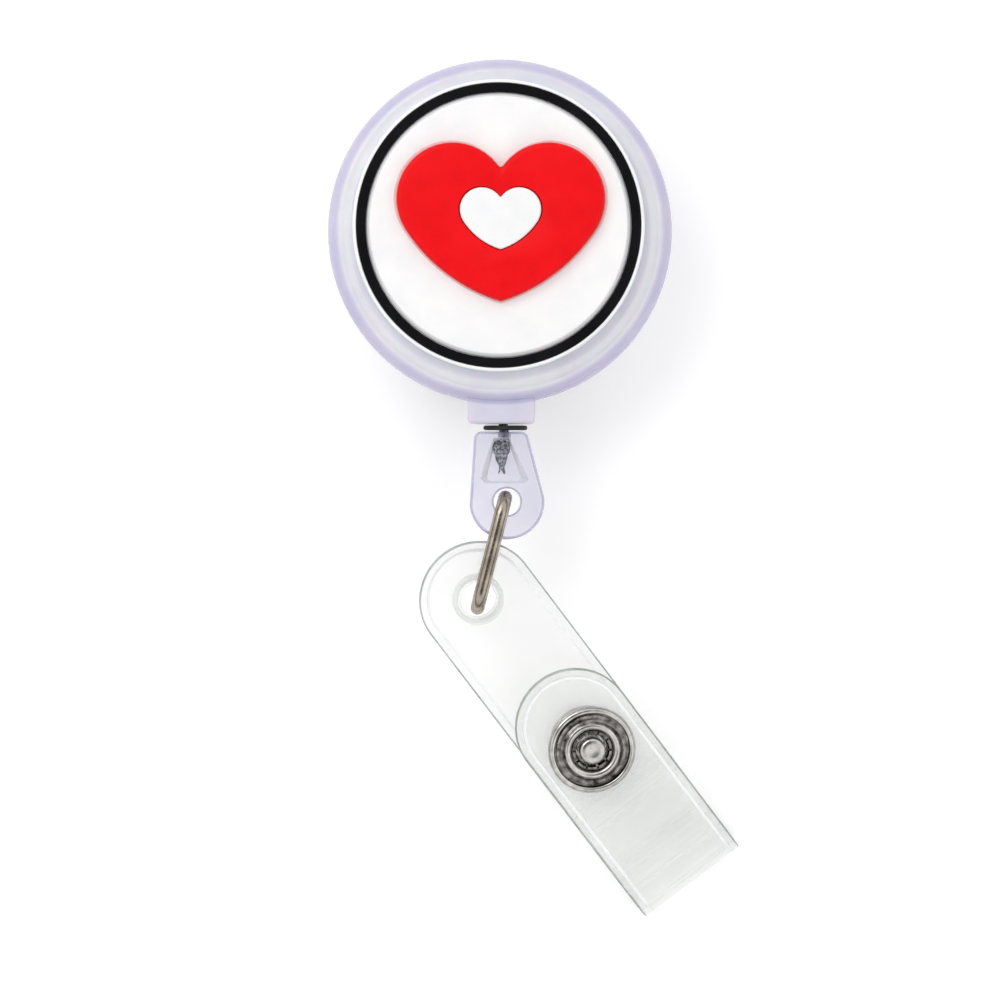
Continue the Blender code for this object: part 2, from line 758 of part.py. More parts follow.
# ---- strap, in its own frame: +X to the fold, +Z out of its face ----
def strapBack(parent):
    side = strapWidth / 2
    end = strapLength - seatLength - glueGap
    outline = arc((0, 0), side, 90, 270, 24) + [(end, -side), (end, side)]
    return plate("strap_back", outline, -half, half, clearVinyl(), parent,
                 holes=[circle((0, 0), eyeletRadius - 0.35, 28), circle((snapPlace, 0), postRadius + 0.35, 20)])


def strapFold(parent):
    """Flat seat for a badge's slot, then a half turn of the sheet up to the flap."""
    outer, inner = foldRadius + half, foldRadius - half
    outline = [(-seatLength, -outer)] + arc((0, 0), outer, -90, 90, 18)
    outline += arc((0, 0), inner, 90, -90, 14) + [(-seatLength, -inner)]
    made = plate("strap_fold", outline, -strapWidth / 2, strapWidth / 2, clearVinyl(), parent)
    made.rotation_euler = (math.radians(90), 0, 0)
    made.location = point(strapLength, 0, foldRadius)
    return made


def strapFlap(parent):
    side = strapWidth / 2
    end = strapLength - glueGap
    outline = arc((flapCentre, 0), side, 90, 270, 24) + [(end, -side), (end, side)]
    return plate("strap_flap", outline, flapHeight - half, flapHeight + half, clearVinyl(), parent,
                 holes=[circle((snapPlace, 0), snapHoleRadius + 0.15, 28)])


def strapEyelet(parent):
    top = half + eyeletRise
    waist = eyeletRadius - 0.35 - 0.1
    profile = [(strapHoleRadius, top), (eyeletRadius, top), (eyeletRadius, half + glueGap),
               (waist, half + glueGap), (waist, -half - glueGap), (eyeletRadius, -half - glueGap),
               (eyeletRadius, -top), (strapHoleRadius, -top)]
    return turned("strap_eyelet", profile, clearVinyl(), parent, steps=32, ring=True)


def snapMetal():
    return material("snap_metal", (168, 168, 166), 0.3, 1.0)


def snapCap(parent):
    """Dished ring on top of the flap."""
    base = flapHeight + half + glueGap
    profile = [
        (snapHoleRadius, base + capRise - 0.15), (capCrestRadius, base + capRise), (capCrestRadius + 0.3, base + 0.5),
        (capCrestRadius + 0.6, base + 0.32), (3.4, base + 0.34), (3.45, base + 0.22), (3.52, base + 0.42),
        (3.85, base + 0.46), (4.08, base + 0.3), (capRadius, base), (snapHoleRadius, base),
    ]
    made = turned("snap_cap", profile, snapMetal(), parent, steps=36, ring=True)
    made.location = point(snapPlace, 0)
    return made


def snapSocket(parent):
    """Ring under the flap whose slit collar stands up through the flap's hole."""
    under = flapHeight - half - glueGap
    collar = snapHoleRadius - 0.1
    top = flapHeight + half + capRise * 0.55
    profile = [(socketBore, top - 0.25), (socketBore + 0.15, top), (collar, top), (collar, under),
               (socketRadius, under), (socketRadius, under - 0.45), (socketRadius - 0.3, under - 0.75),
               (socketBore + 0.3, under - 0.75), (socketBore, under - 0.4)]
    made = turned("snap_socket", profile, snapMetal(), parent, steps=32, ring=True)
    made.location = point(snapPlace, 0)
    slits = 4
    for i in range(slits):
        angle = math.pi * (i + 0.5) / slits
        out = Vector((math.cos(angle), math.sin(angle))) * (collar + 0.3)
        slit = box(f"socket_slit_{i}", (-out.length, -0.14, top - 0.45), (out.length, 0.14, top + 1),
                   parent=parent, folder="cutters")
        slit.location = point(snapPlace, 0)
        slit.rotation_euler = (0, 0, angle)
        shape(made, slit)
    return made


def snapStud(parent):
    """Flange on the strap with a hollow stud whose rounded head fills the socket."""
    base = half + glueGap
    flange = base + 0.4
    head = flapHeight + half + capRise + 0.15
    hollow = postRadius + 0.2
    profile = [
        (0, head), (studHeadRadius * 0.7, head), (studHeadRadius * 0.92, head - 0.12),
        (studHeadRadius, head - 0.4), (studHeadRadius - 0.12, head - 1.1), (studHeadRadius - 0.05, flange + 0.3),
        (studHeadRadius + 0.2, flange), (studFlangeRadius - 0.2, flange), (studFlangeRadius, flange - 0.15),
        (studFlangeRadius, base), (hollow, base), (hollow, base + 1.6), (0, base + 1.6),
    ]
    made = turned("snap_stud", profile, snapMetal(), parent, steps=28)
    made.location = point(snapPlace, 0)
    return made


def snapPost(parent):
    top = half + 1.3
    base = -half - glueGap
    profile = [(0, top), (postRadius * 0.7, top), (postRadius, top - 0.2), (postRadius, base),
               (studFlangeRadius, base), (studFlangeRadius, base - 0.2), (studFlangeRadius - 0.3, base - 0.4),
               (0, base - 0.4)]
    made = turned("snap_post", profile, snapMetal(), parent, steps=28)
    made.location = point(snapPlace, 0)
    return made


def smooth():
    """Shades every mesh smooth, with its sharp edges kept."""
    for made in collection("badge_reel").objects:
        if made.type == "MESH":
            made.data.shade_smooth()
            made.data.set_sharp_from_angle(angle=math.radians(35))


def build():
    for old in list(bpy.data.objects):
        bpy.data.objects.remove(old)
    casing = empty("casing_axis", (0, 0, 0))
    backShell(casing)
    frontShell(casing)
    swivelRivet(casing)
    swivelWasher(casing)
    cordLead(casing)
    turning = empty("spool_axis", (0, 0, 0), parent=casing)
    for piece in (spool, powerSpring, cordWinding):
        piece(turning)
    charm = empty("charm_axis", point(*charmOffset), parent=casing)
    for piece in (charmBase, charmRing, charmMotif, charmInlay):
        piece(charm)
    clip = empty("clip_axis", (0, 0, 0))
    for piece in (clipPlate, clipJaw, hingePin, clipSpring):
        piece(clip)
    tag = empty("tag_slide", (0, 0, 0))
    for piece in (stopWasher, cordTag, cordKnot):
        piece(tag)
    linkRing(empty("link_axis", (0, 0, 0)))
    strap = empty("strap_frame", point(*strapHole, cordHeight),
                  (0, strapPitch(), math.radians(strapHeading - 90)))
    for piece in (strapBack, strapFold, strapFlap, strapEyelet, snapCap, snapSocket, snapStud, snapPost):
        piece(strap)
    smooth()


build()
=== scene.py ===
import math

import bpy
from mathutils import Matrix, Vector
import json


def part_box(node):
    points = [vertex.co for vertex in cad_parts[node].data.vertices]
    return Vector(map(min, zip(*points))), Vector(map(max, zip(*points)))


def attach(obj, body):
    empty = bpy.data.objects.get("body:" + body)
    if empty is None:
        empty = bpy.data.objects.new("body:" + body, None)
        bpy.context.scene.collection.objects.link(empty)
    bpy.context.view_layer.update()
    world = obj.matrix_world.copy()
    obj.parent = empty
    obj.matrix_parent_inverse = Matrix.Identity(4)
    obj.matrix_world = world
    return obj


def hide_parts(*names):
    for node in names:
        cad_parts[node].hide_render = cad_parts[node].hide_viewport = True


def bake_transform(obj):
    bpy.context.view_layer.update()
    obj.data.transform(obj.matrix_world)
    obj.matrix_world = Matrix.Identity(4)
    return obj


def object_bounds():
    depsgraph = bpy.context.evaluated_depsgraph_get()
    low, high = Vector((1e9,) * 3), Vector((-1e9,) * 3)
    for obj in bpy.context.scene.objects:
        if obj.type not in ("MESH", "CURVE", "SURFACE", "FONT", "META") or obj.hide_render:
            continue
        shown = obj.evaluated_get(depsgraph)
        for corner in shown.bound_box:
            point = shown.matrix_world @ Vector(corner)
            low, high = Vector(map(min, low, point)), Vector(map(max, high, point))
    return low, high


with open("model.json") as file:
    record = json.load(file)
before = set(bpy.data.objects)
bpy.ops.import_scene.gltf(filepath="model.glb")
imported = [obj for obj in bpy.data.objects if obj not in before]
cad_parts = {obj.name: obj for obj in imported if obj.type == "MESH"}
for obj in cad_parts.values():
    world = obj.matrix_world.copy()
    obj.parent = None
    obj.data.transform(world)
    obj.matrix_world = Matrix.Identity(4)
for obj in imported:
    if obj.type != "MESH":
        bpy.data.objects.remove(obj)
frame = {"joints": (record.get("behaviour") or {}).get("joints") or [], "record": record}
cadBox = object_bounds()
print("frame loaded")


# small tools: sizes are in millimetres and turned to metres where used
def mm(value):
    return value * 0.001


def boxOf(node):
    low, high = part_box(node)
    return Vector(low) * 1000, Vector(high) * 1000


def jointNamed(name):
    return next(joint for joint in frame["joints"] if joint["name"] == name)


def arcPoints(centre, radii, start, end, steps):
    # points along an arc or part of an ellipse, angles in degrees
    angles = [math.radians(start + (end - start) * i / steps) for i in range(steps + 1)]
    return [(centre[0] + radii[0] * math.cos(a), centre[1] + radii[1] * math.sin(a)) for a in angles]


def circlePoints(centre, radius, steps=64):
    return arcPoints(centre, (radius, radius), 0, 360, steps)[:-1]


def deselectAll():
    if bpy.context.mode != "OBJECT":
        bpy.ops.object.mode_set(mode="OBJECT")
    bpy.ops.object.select_all(action="DESELECT")


def makeActive(piece):
    deselectAll()
    piece.select_set(True)
    bpy.context.view_layer.objects.active = piece


def pickFaces(piece, wanted):
    # selects the faces that are wanted and leaves the piece in edit mode
    makeActive(piece)
    bpy.ops.object.mode_set(mode="EDIT")
    bpy.ops.mesh.select_all(action="DESELECT")
    bpy.ops.object.mode_set(mode="OBJECT")
    for face in piece.data.polygons:
        face.select = wanted(face)
    bpy.ops.object.mode_set(mode="EDIT")


def applyModifier(piece, kind, **settings):
    makeActive(piece)
    modifier = piece.modifiers.new(kind.lower(), kind)
    for key, value in settings.items():
        setattr(modifier, key, value)
    bpy.ops.object.modifier_apply(modifier=modifier.name)


def bevelEdges(piece, width, segments=3, angle=35, clamp=True):
    applyModifier(piece, "BEVEL", width=mm(width), segments=segments, limit_method="ANGLE",
                  angle_limit=math.radians(angle), use_clamp_overlap=clamp)


def combine(piece, other, operation="DIFFERENCE"):
    applyModifier(piece, "BOOLEAN", operation=operation, object=other, solver="EXACT")
    bpy.data.objects.remove(other)


def turnedPiece(name, profile, centre=(0, 0), segments=128, ring=False):
    # a circle pushed on from point to point of a (radius, height) profile; a ring's profile closes on itself
    deselectAll()
    x, y = centre
    radius, height = profile[0]
    bpy.ops.mesh.primitive_circle_add(vertices=segments, radius=mm(radius), fill_type="NOTHING",
                                      location=(mm(x), mm(y), mm(height)))
    piece = bpy.context.object
    piece.name = piece.data.name = name
    bpy.ops.object.mode_set(mode="EDIT")
    bpy.ops.mesh.select_all(action="SELECT")
    for newRadius, newHeight in profile[1:] + (profile[:1] if ring else []):
        bpy.ops.mesh.extrude_region_move(TRANSFORM_OT_translate={"value": (0, 0, mm(newHeight - height))})
        grow = newRadius / radius
        bpy.ops.transform.resize(value=(grow, grow, 1), center_override=(mm(x), mm(y), mm(newHeight)))
        radius, height = newRadius, newHeight
    bpy.ops.mesh.select_all(action="SELECT")
    bpy.ops.mesh.remove_doubles(threshold=mm(0.001))
    if not ring:
        bpy.ops.mesh.fill_holes(sides=0)
    bpy.ops.mesh.select_all(action="SELECT")
    bpy.ops.mesh.normals_make_consistent(inside=False)
    bpy.ops.object.mode_set(mode="OBJECT")
    bpy.ops.object.transform_apply(location=True, rotation=True, scale=True)
    return piece


def meshFromCurve(piece):
    makeActive(piece)
    bpy.ops.object.convert(target="MESH")
    bpy.ops.object.mode_set(mode="EDIT")
    bpy.ops.mesh.select_all(action="SELECT")
    bpy.ops.mesh.remove_doubles(threshold=mm(0.001))
    bpy.ops.mesh.normals_make_consistent(inside=False)
    bpy.ops.object.mode_set(mode="OBJECT")
    bpy.ops.object.transform_apply(location=True, rotation=True, scale=True)
    return bpy.context.object


def curvePiece(name, loops, cyclic=True, height=0):
    curve = bpy.data.curves.new(name, "CURVE")
    for loop in loops:
        spline = curve.splines.new("POLY")
        spline.points.add(len(loop) - 1)
        for spot, place in zip(spline.points, loop):
            spot.co = (*[mm(value) for value in place], *([0] * (3 - len(place))), 1)
        spline.use_cyclic_u = cyclic
    piece = bpy.data.objects.new(name, curve)
    piece.location.z = mm(height)
    bpy.context.scene.collection.objects.link(piece)
    return piece


def outlinePiece(name, loops, low, high):
    # a flat outline with its holes, given its thickness
    piece = curvePiece(name, loops, height=(low + high) / 2)
    piece.data.dimensions = "2D"
    piece.data.fill_mode = "BOTH"
    piece.data.extrude = mm(high - low) / 2
    piece = meshFromCurve(piece)
    bpy.ops.object.mode_set(mode="EDIT")
    bpy.ops.mesh.select_all(action="SELECT")
    bpy.ops.mesh.dissolve_limited(angle_limit=math.radians(0.5))
    bpy.ops.object.mode_set(mode="OBJECT")
    return piece


def wirePiece(name, path, radius, cyclic=False, sides=4):
    piece = curvePiece(name, [path], cyclic)
    piece.data.dimensions = "3D"
    piece.data.bevel_depth = mm(radius)
    piece.data.bevel_resolution = sides
    piece.data.use_fill_caps = True
    return meshFromCurve(piece)


def blockPiece(name, low, high, edge=0.0, segments=3):
    deselectAll()
    low, high = Vector(low), Vector(high)
    bpy.ops.mesh.primitive_cube_add(size=1, location=(low + high) / 2 * 0.001, scale=(high - low) * 0.001)
    piece = bpy.context.object
    piece.name = piece.data.name = name
    bpy.ops.object.transform_apply(location=True, rotation=True, scale=True)
    if edge:
        bevelEdges(piece, edge, segments)
    return piece


def rodPiece(name, start, end, radius, endRadius=None, sides=48):
    deselectAll()
    a, b = Vector(start) * 0.001, Vector(end) * 0.001
    turn = (b - a).to_track_quat("Z", "Y").to_euler()
    bpy.ops.mesh.primitive_cone_add(vertices=sides, radius1=mm(radius), radius2=mm(endRadius or radius),
                                    depth=(b - a).length, location=(a + b) / 2, rotation=turn)
    piece = bpy.context.object
    piece.name = piece.data.name = name
    bpy.ops.object.transform_apply(location=True, rotation=True, scale=True)
    return piece


def heartPoints(width, middle, steps=1):
    # two round lobes and two flatter flanks that meet in a point, centred on its own height
    lobe, flank, join = 0.27 * width, 0.84 * width, math.radians(-33)
    lobeX = width / 2 - lobe
    flankX = lobeX - (flank - lobe) * math.cos(join)
    flankY = -(flank - lobe) * math.sin(join)
    tip = math.degrees(math.asin(-flankX / flank)) - 90
    notch = math.degrees(math.acos(-lobeX / lobe))
    right = arcPoints((flankX, flankY), (flank, flank), tip, math.degrees(join), 14 * steps)
    right += arcPoints((lobeX, 0), (lobe, lobe), math.degrees(join), notch, 24 * steps)[1:]
    left = [(-x, y) for x, y in right[::-1]][1:-1]
    low, high = right[0][1], lobe
    return [(middle[0] + x, middle[1] + y - (low + high) / 2) for x, y in right + left]


def finishPiece(piece, material, slotName, body, *replaced, smooth=35):
    # material, smooth shading, and what the piece rides on and stands for
    piece.data.materials.clear()
    piece.data.materials.append(material)
    makeActive(piece)
    bpy.ops.object.shade_smooth_by_angle(angle=math.radians(smooth))
    if body:
        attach(piece, body)
    if replaced:
        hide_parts(*replaced)
    return piece


def secondFinish(piece, material, faces):
    # another finish on some of a piece's faces
    piece.data.materials.append(material)
    last = len(piece.data.materials) - 1
    for index in faces:
        piece.data.polygons[index].material_index = last


# materials
def colour(hexCode):
    # sRGB hex to linear
    channels = [int(hexCode[i:i + 2], 16) / 255 for i in (0, 2, 4)]
    return (*[c / 12.92 if c <= 0.04045 else ((c + 0.055) / 1.055) ** 2.4 for c in channels], 1)


def addNode(tree, kind, settings=None, links=None):
    # one node: its settings by socket or property, a colour ramp's stops, and its links by socket
    node = tree.nodes.new(kind)
    for key, value in (settings or {}).items():
        if key == "stops":
            elements = node.color_ramp.elements
            while len(elements) < len(value):
                elements.new(0.5)
            for element, (place, tone) in zip(elements, value):
                element.position = place
                element.color = tone if isinstance(tone, tuple) else (tone, tone, tone, 1)
        elif isinstance(key, int) or key in node.inputs:
            node.inputs[key].default_value = value
        else:
            setattr(node, key, value)
    for key, source in (links or {}).items():
        tree.links.new(source, node.inputs[key])
    return node


def newMaterial(name, **sockets):
    material = bpy.data.materials.new(name)
    material.use_nodes = True
    tree = material.node_tree
    shader = tree.nodes["Principled BSDF"]
    for key, value in sockets.items():
        shader.inputs[key.replace("_", " ")].default_value = value
    return material, tree, shader


def grainedMaterial(name, tones, gloss, sizes, relief, details=(3, 3, 3), toneEnd=0.7, glossStart=0.3,
                    **sockets):
    # colour, roughness and bump, each from a noise whose cells measure its own size in millimetres
    material, tree, shader = newMaterial(name, **sockets)
    place = addNode(tree, "ShaderNodeTexCoord")
    clouds = [addNode(tree, "ShaderNodeTexNoise", {"Scale": 1 / mm(size), "Detail": detail},
                      {"Vector": place.outputs["Object"]}) for size, detail in zip(sizes, details)]
    stops = [(0.3, colour(tones[0])), (toneEnd, colour(tones[1]))]
    tint = addNode(tree, "ShaderNodeValToRGB", {"stops": stops}, {"Fac": clouds[0].outputs["Fac"]})
    shine = addNode(tree, "ShaderNodeValToRGB", {"stops": [(glossStart, gloss[0]), (0.7, gloss[1])]},
                    {"Fac": clouds[1].outputs["Fac"]})
    strength, depth = relief
    dents = addNode(tree, "ShaderNodeBump", {"Strength": strength, "Distance": mm(depth)},
                    {"Height": clouds[2].outputs["Fac"]})
    tree.links.new(tint.outputs["Color"], shader.inputs["Base Color"])
    tree.links.new(shine.outputs["Color"], shader.inputs["Roughness"])
    tree.links.new(dents.outputs["Normal"], shader.inputs["Normal"])
    return material, tree, shader


# places and directions that pieces and finishes share
tagHole = Vector(jointNamed("link_swing")["pos_m"]) * 1000
strapHole = Vector(jointNamed("strap_swing")["pos_m"]) * 1000
foldAxis = Vector(jointNamed("flap_open")["axis"]).normalized()
foldPlace = Vector(jointNamed("flap_open")["pos_m"]) * 1000
strapUp = Vector(next(m for m in frame["record"]["mounts"] if m["name"] == "strap_seat")["axis"]).normalized()
strapAlong = foldAxis.cross(strapUp).normalized()
strapLength = (foldPlace - strapHole).dot(strapAlong)
foldReach = mm(foldPlace.dot(strapAlong))


def casingPlastic():
    # translucent styrene with a violet tint, which gathers in the rim where light runs along the wall; the
    # whiter band on the slope just inside the rim is a painted highlight
    material, tree, shader = grainedMaterial("casingPlastic", ("F4F3FA", "FFFFFF"), (0.16, 0.24),
                                             (4.0, 4.0, 3.0), (0.12, 0.02), IOR=1.55, Alpha=0.84,
                                             Subsurface_Weight=0.25, Subsurface_Scale=mm(1.5))
    cloudy = shader.inputs["Base Color"].links[0].from_socket
    place = addNode(tree, "ShaderNodeTexCoord")
    flat = addNode(tree, "ShaderNodeVectorMath", {"operation": "MULTIPLY", 1: (1, 1, 0)},
                   {0: place.outputs["Object"]})
    reach = addNode(tree, "ShaderNodeVectorMath", {"operation": "LENGTH"}, {0: flat.outputs["Vector"]})
    share = addNode(tree, "ShaderNodeMath", {"operation": "DIVIDE", 1: mm(16.2)}, {0: reach.outputs["Value"]})
    # radial stops: the lighter stop at the crease is a painted highlight, the violet stops are the tint in
    # the rim
    rimTintAndHighlight = addNode(tree, "ShaderNodeValToRGB",
                   {"stops": [(0.84, colour("F1EFF8")), (0.912, colour("FCFBFF")), (0.935, colour("E2DFF3")),
                              (0.985, colour("D3CFEA")), (1.0, colour("EFEDF8"))]},
                   {"Fac": share.outputs["Value"]})
    tint = addNode(tree, "ShaderNodeMix", {"data_type": "RGBA", "blend_type": "MULTIPLY", "Factor": 1.0},
                   {6: rimTintAndHighlight.outputs["Color"], 7: cloudy})
    tree.links.new(tint.outputs[2], shader.inputs["Base Color"])
    return material


def clearVinyl():
    # calendered flexible PVC sheet: clear, glossy, a little milky, with painted highlights as paler, more
    # opaque bands on the bowed flap near the fold
    material, tree, shader = grainedMaterial("clearVinyl", ("F2F5F2", "FBFCFA"), (0.05, 0.12),
                                             (6.0, 1.2, 6.0), (0.15, 0.1), details=(1, 3, 1), IOR=1.5,
                                             Transmission_Weight=0.45, Specular_IOR_Level=0.9)
    place = addNode(tree, "ShaderNodeTexCoord")
    along = addNode(tree, "ShaderNodeVectorMath", {"operation": "DOT_PRODUCT", 1: tuple(strapAlong)},
                    {0: place.outputs["Object"]})
    nearFold = addNode(tree, "ShaderNodeMapRange", {"From Min": foldReach - mm(12), "From Max": foldReach},
                   {"Value": along.outputs["Value"]})
    # the alpha stops paint the highlight bands: more opaque milky white where a highlight is painted
    highlightBands = addNode(tree, "ShaderNodeValToRGB",
                    {"stops": [(0.05, 0.3), (0.25, 0.6), (0.36, 0.26), (0.62, 0.3), (0.8, 0.72),
                               (0.92, 0.3)]},
                    {"Fac": nearFold.outputs["Result"]})
    tree.links.new(highlightBands.outputs["Color"], shader.inputs["Alpha"])
    return material


def mouldedResin(name, tones, roughness, glow, shine):
    # soft PVC poured in a mould: satin, hardly any sheen, its 0.1 mm grain drawn coarser so that it shows
    return grainedMaterial(name, tones, (roughness - 0.05, roughness + 0.08), (2.5, 0.22, 0.22), (0.18, 0.02),
                           details=(3, 2, 2), IOR=1.53, Subsurface_Weight=glow, Subsurface_Scale=mm(0.6),
                           Specular_IOR_Level=shine)[0]


def braidedCord():
    # braided polyester: grey and black strands, matt, 0.2 mm from strand to strand
    material, tree, shader = newMaterial("braidedCord", Roughness=0.85, Sheen_Weight=0.3)
    place = addNode(tree, "ShaderNodeTexCoord")
    strands = addNode(tree, "ShaderNodeTexVoronoi", {"Scale": 1 / mm(0.2)},
                      {"Vector": place.outputs["Object"]})
    tint = addNode(tree, "ShaderNodeValToRGB", {"stops": [(0.3, colour("484A51")), (0.75, colour("A2A5AD"))]},
                   {"Fac": strands.outputs["Color"]})
    weave = addNode(tree, "ShaderNodeBump", {"Strength": 0.6, "Distance": mm(0.08)},
                    {"Height": strands.outputs["Distance"]})
    tree.links.new(tint.outputs["Color"], shader.inputs["Base Color"])
    tree.links.new(weave.outputs["Normal"], shader.inputs["Normal"])
    return material


def plainMoulding(name, tones, gloss, size, **sockets):
    # small moulded or rolled parts that hardly show: two close tones and a fine grain
    return grainedMaterial(name, tones, gloss, (size, size / 4, size / 5), (0.2, 0.02), **sockets)[0]


shellFinish = casingPlastic()
# injection-moulded clear styrene with a lilac tint
tagFinish = grainedMaterial("tagPlastic", ("D6D4EA", "E6E4F3"), (0.12, 0.2), (3.0, 3.0, 0.8), (0.1, 0.03),
                            IOR=1.5, Transmission_Weight=0.85, Alpha=0.6)[0]
vinylFinish = clearVinyl()
# cut edge of the same sheet: light runs out along the sheet, so the edge reads as a dark line
edgeFinish = grainedMaterial("vinylEdge", ("767D7B", "A3A9A6"), (0.12, 0.22), (2.0, 0.6, 0.8), (0.2, 0.05),
                             IOR=1.5, Transmission_Weight=0.5, Alpha=0.85)[0]
# rounded rim of the tag, where the tint gathers
rimFinish = grainedMaterial("tagRim", ("B3B0D0", "CCCAE2"), (0.12, 0.2), (2.0, 0.8, 0.8), (0.1, 0.03),
                            IOR=1.5, Transmission_Weight=0.5, Alpha=0.75)[0]
# bead-blasted tool finish of the pocket's walls and the weld lines; its near-white colour is a painted
# highlight of these lines catching the light
frostAndHighlightFinish = grainedMaterial("frostedWallHighlight", ("F6F5FC", "FFFFFF"), (0.35, 0.5), (0.6, 0.3, 0.2), (0.3, 0.03),
                              IOR=1.5, Alpha=0.95)[0]
# bright nickel on steel wire and sheet: warm grey, rubbed and finely scratched
nickelFinish = grainedMaterial("nickelPlate", ("897F74", "AFA597"), (0.14, 0.34), (1.5, 0.3, 0.5),
                               (0.1, 0.01), details=(4, 5, 2), toneEnd=0.65, glossStart=0.35,
                               Metallic=1.0)[0]
# pressed brass with bright nickel: cooler and glossier than the wire, with press marks
snapFinish = grainedMaterial("snapNickel", ("A9A6A1", "CFCCC7"), (0.1, 0.28), (0.9, 0.25, 0.6), (0.12, 0.02),
                             details=(3, 4, 2), glossStart=0.35, Metallic=1.0)[0]
# the same plating painted dark in the pressed recesses: painted shade in the seam and the gap round the stud,
# and a painted dark reflection in the hollow
shadedNickelFinish = grainedMaterial("shadedNickel", ("2E2B29", "A29E99"), (0.15, 0.32), (0.7, 0.25, 0.5),
                                (0.15, 0.02), details=(3, 4, 2), glossStart=0.35, Metallic=1.0)[0]
whiteResin = mouldedResin("whiteResin", ("F5F5F6", "FCFCFC"), 0.4, 0.1, 0.4)
blushResin = mouldedResin("blushResin", ("F2BFC0", "F6D0D1"), 0.4, 0.1, 0.3)  # white with red bled into it
blackResin = mouldedResin("blackResin", ("08070B", "111015"), 0.35, 0.0, 0.12)
redResin = mouldedResin("redResin", ("EA0A12", "F40F18"), 0.42, 0.03, 0.12)
cordFinish = braidedCord()
rubberFinish = plainMoulding("blackRubber", ("101013", "1E1E22"), (0.6, 0.8), 0.8)
nylonFinish = plainMoulding("nylonMoulding", ("E3E3E0", "F1F1EE"), (0.4, 0.55), 1.5)
springFinish = plainMoulding("springSteel", ("6E7178", "8E9198"), (0.25, 0.4), 0.8, Metallic=1.0)
print("materials made")


# casing: two translucent shells, parted at the height of the cord
casing = {
    "wall": 1.2,
    "rimWall": 1.4,
    "crease": 14.75,       # radius where the rim's rounding starts
    "plateau": 13.95,      # radius of the flat that the charm sits on
    "channel": 0.85,       # radius of the cord's way out
    "flare": 2.25,         # and where it opens into the casing
    "boss": 2.43,          # half height of the block round the exit
    "bossEdge": 0.45,
    "skirt": 0.62,         # the front shell's edge, which stands outside the back shell's lip
    "skirtDepth": 1.04,
    "lipGap": 0.16,
    "post": 10.5,          # top of the slotted post that holds the spring
}
frontLow, frontHigh = boxOf("front_shell")
backLow, backHigh = boxOf("back_shell")
casingRadius = (frontHigh.x - frontLow.x) / 2
exitEnd = frontLow.y
cordHeight = jointNamed("link_swing")["pos_m"][2] * 1000
partingHalf = frontLow.z - cordHeight
leadLow, leadHigh = boxOf("cord_lead")
exitX = 0.15
exitHalf = 3.15


def exitBoss(name, low, high, deep):
    return blockPiece(name, (exitX - exitHalf, exitEnd, low), (exitX + exitHalf, -casingRadius + deep, high),
                      casing["bossEdge"])


def cutChannel(shell):
    inside = -casingRadius + casing["rimWall"] + 0.6
    combine(shell, rodPiece("flare", (exitX, inside, cordHeight), (exitX, -casingRadius - 0.4, cordHeight),
                            casing["flare"], casing["channel"] * 0.9))
    combine(shell, rodPiece("bore", (exitX, inside, cordHeight), (exitX, exitEnd - 1, cordHeight),
                            casing["channel"]))


def makeFrontShell():
    top, bottom = frontHigh.z, frontLow.z
    inner = casingRadius - casing["rimWall"]
    ceiling = top - casing["wall"]
    crease, plateau = casing["crease"], casing["plateau"]
    skirt, depth = casing["skirt"], casing["skirtDepth"]
    side = casingRadius - crease
    profile = [(0.3, top), (plateau - 0.1, top), (plateau + 0.1, top - 0.04),
               (crease - 0.06, top - 0.42), (crease, top - 0.5)]
    profile += arcPoints((crease, top - 2.6), (side, 2.05), 86, 0, 12)
    profile += [(casingRadius, bottom + 0.1), (casingRadius - 0.1, bottom), (casingRadius - skirt, bottom),
                (casingRadius - skirt, bottom + depth), (inner, bottom + depth), (inner, ceiling - 1.2)]
    profile += arcPoints((inner - 1.2, ceiling - 1.2), (1.2, 1.2), 0, 90, 8)[1:]
    profile += [(1.6, ceiling), (1.6, ceiling - 1.5), (0.3, ceiling - 1.5)]
    shell = turnedPiece("frontShell", profile, segments=192)
    combine(shell, exitBoss("boss", bottom, bottom + casing["boss"], casing["rimWall"] - 0.4), "UNION")
    cutChannel(shell)
    return finishPiece(shell, shellFinish, "shell_plastic", "casing", "front_shell")


def makeBackShell():
    top, bottom = cordHeight - partingHalf, backLow.z
    inner = casingRadius - casing["rimWall"]
    floor = bottom + casing["wall"]
    lip, post = casingRadius - casing["skirt"] - casing["lipGap"], casing["post"]
    profile = [(inner, backHigh.z), (lip, backHigh.z), (lip, top), (casingRadius - 0.1, top),
               (casingRadius, top - 0.1)]
    profile += arcPoints((casingRadius - 1.2, bottom + 1.2), (1.2, 1.2), 0, -90, 10)
    profile += [(11.4, bottom), (11.2, bottom + 0.12), (4.4, bottom + 0.12), (4.2, bottom), (1.3, bottom),
                (1.3, floor), (1.9, floor), (1.9, post - 0.05), (2.0, post), (2.7, post), (2.8, post - 0.1),
                (2.8, floor + 0.2), (4.0, floor + 0.2), (4.0, floor), (inner, floor)]
    shell = turnedPiece("backShell", profile, segments=192, ring=True)
    notch = blockPiece("notch", (exitX - exitHalf - 0.05, -lip - 0.05, top + 0.001),
                       (exitX + exitHalf + 0.05, -inner + 1, backHigh.z + 1))
    combine(shell, notch)
    combine(shell, exitBoss("boss", top - casing["boss"], top, casing["rimWall"] - 0.4), "UNION")
    cutChannel(shell)
    combine(shell, blockPiece("slot", (0, -0.35, floor + 0.5), (3.3, 0.35, post + 1)))
    return finishPiece(shell, shellFinish, "shell_plastic", "casing", "back_shell")


makeFrontShell()
makeBackShell()
print("casing made")


# spool, its spring and the cord
spoolSizes = {"radius": 13.8, "bore": 3.1, "drum": 7.6, "chamber": 6.8, "flange": 0.6, "cord": 0.45,
              "layers": 5, "outer": 12.0, "springTurns": 5.5, "springStart": 3.2, "springSheet": 0.18}


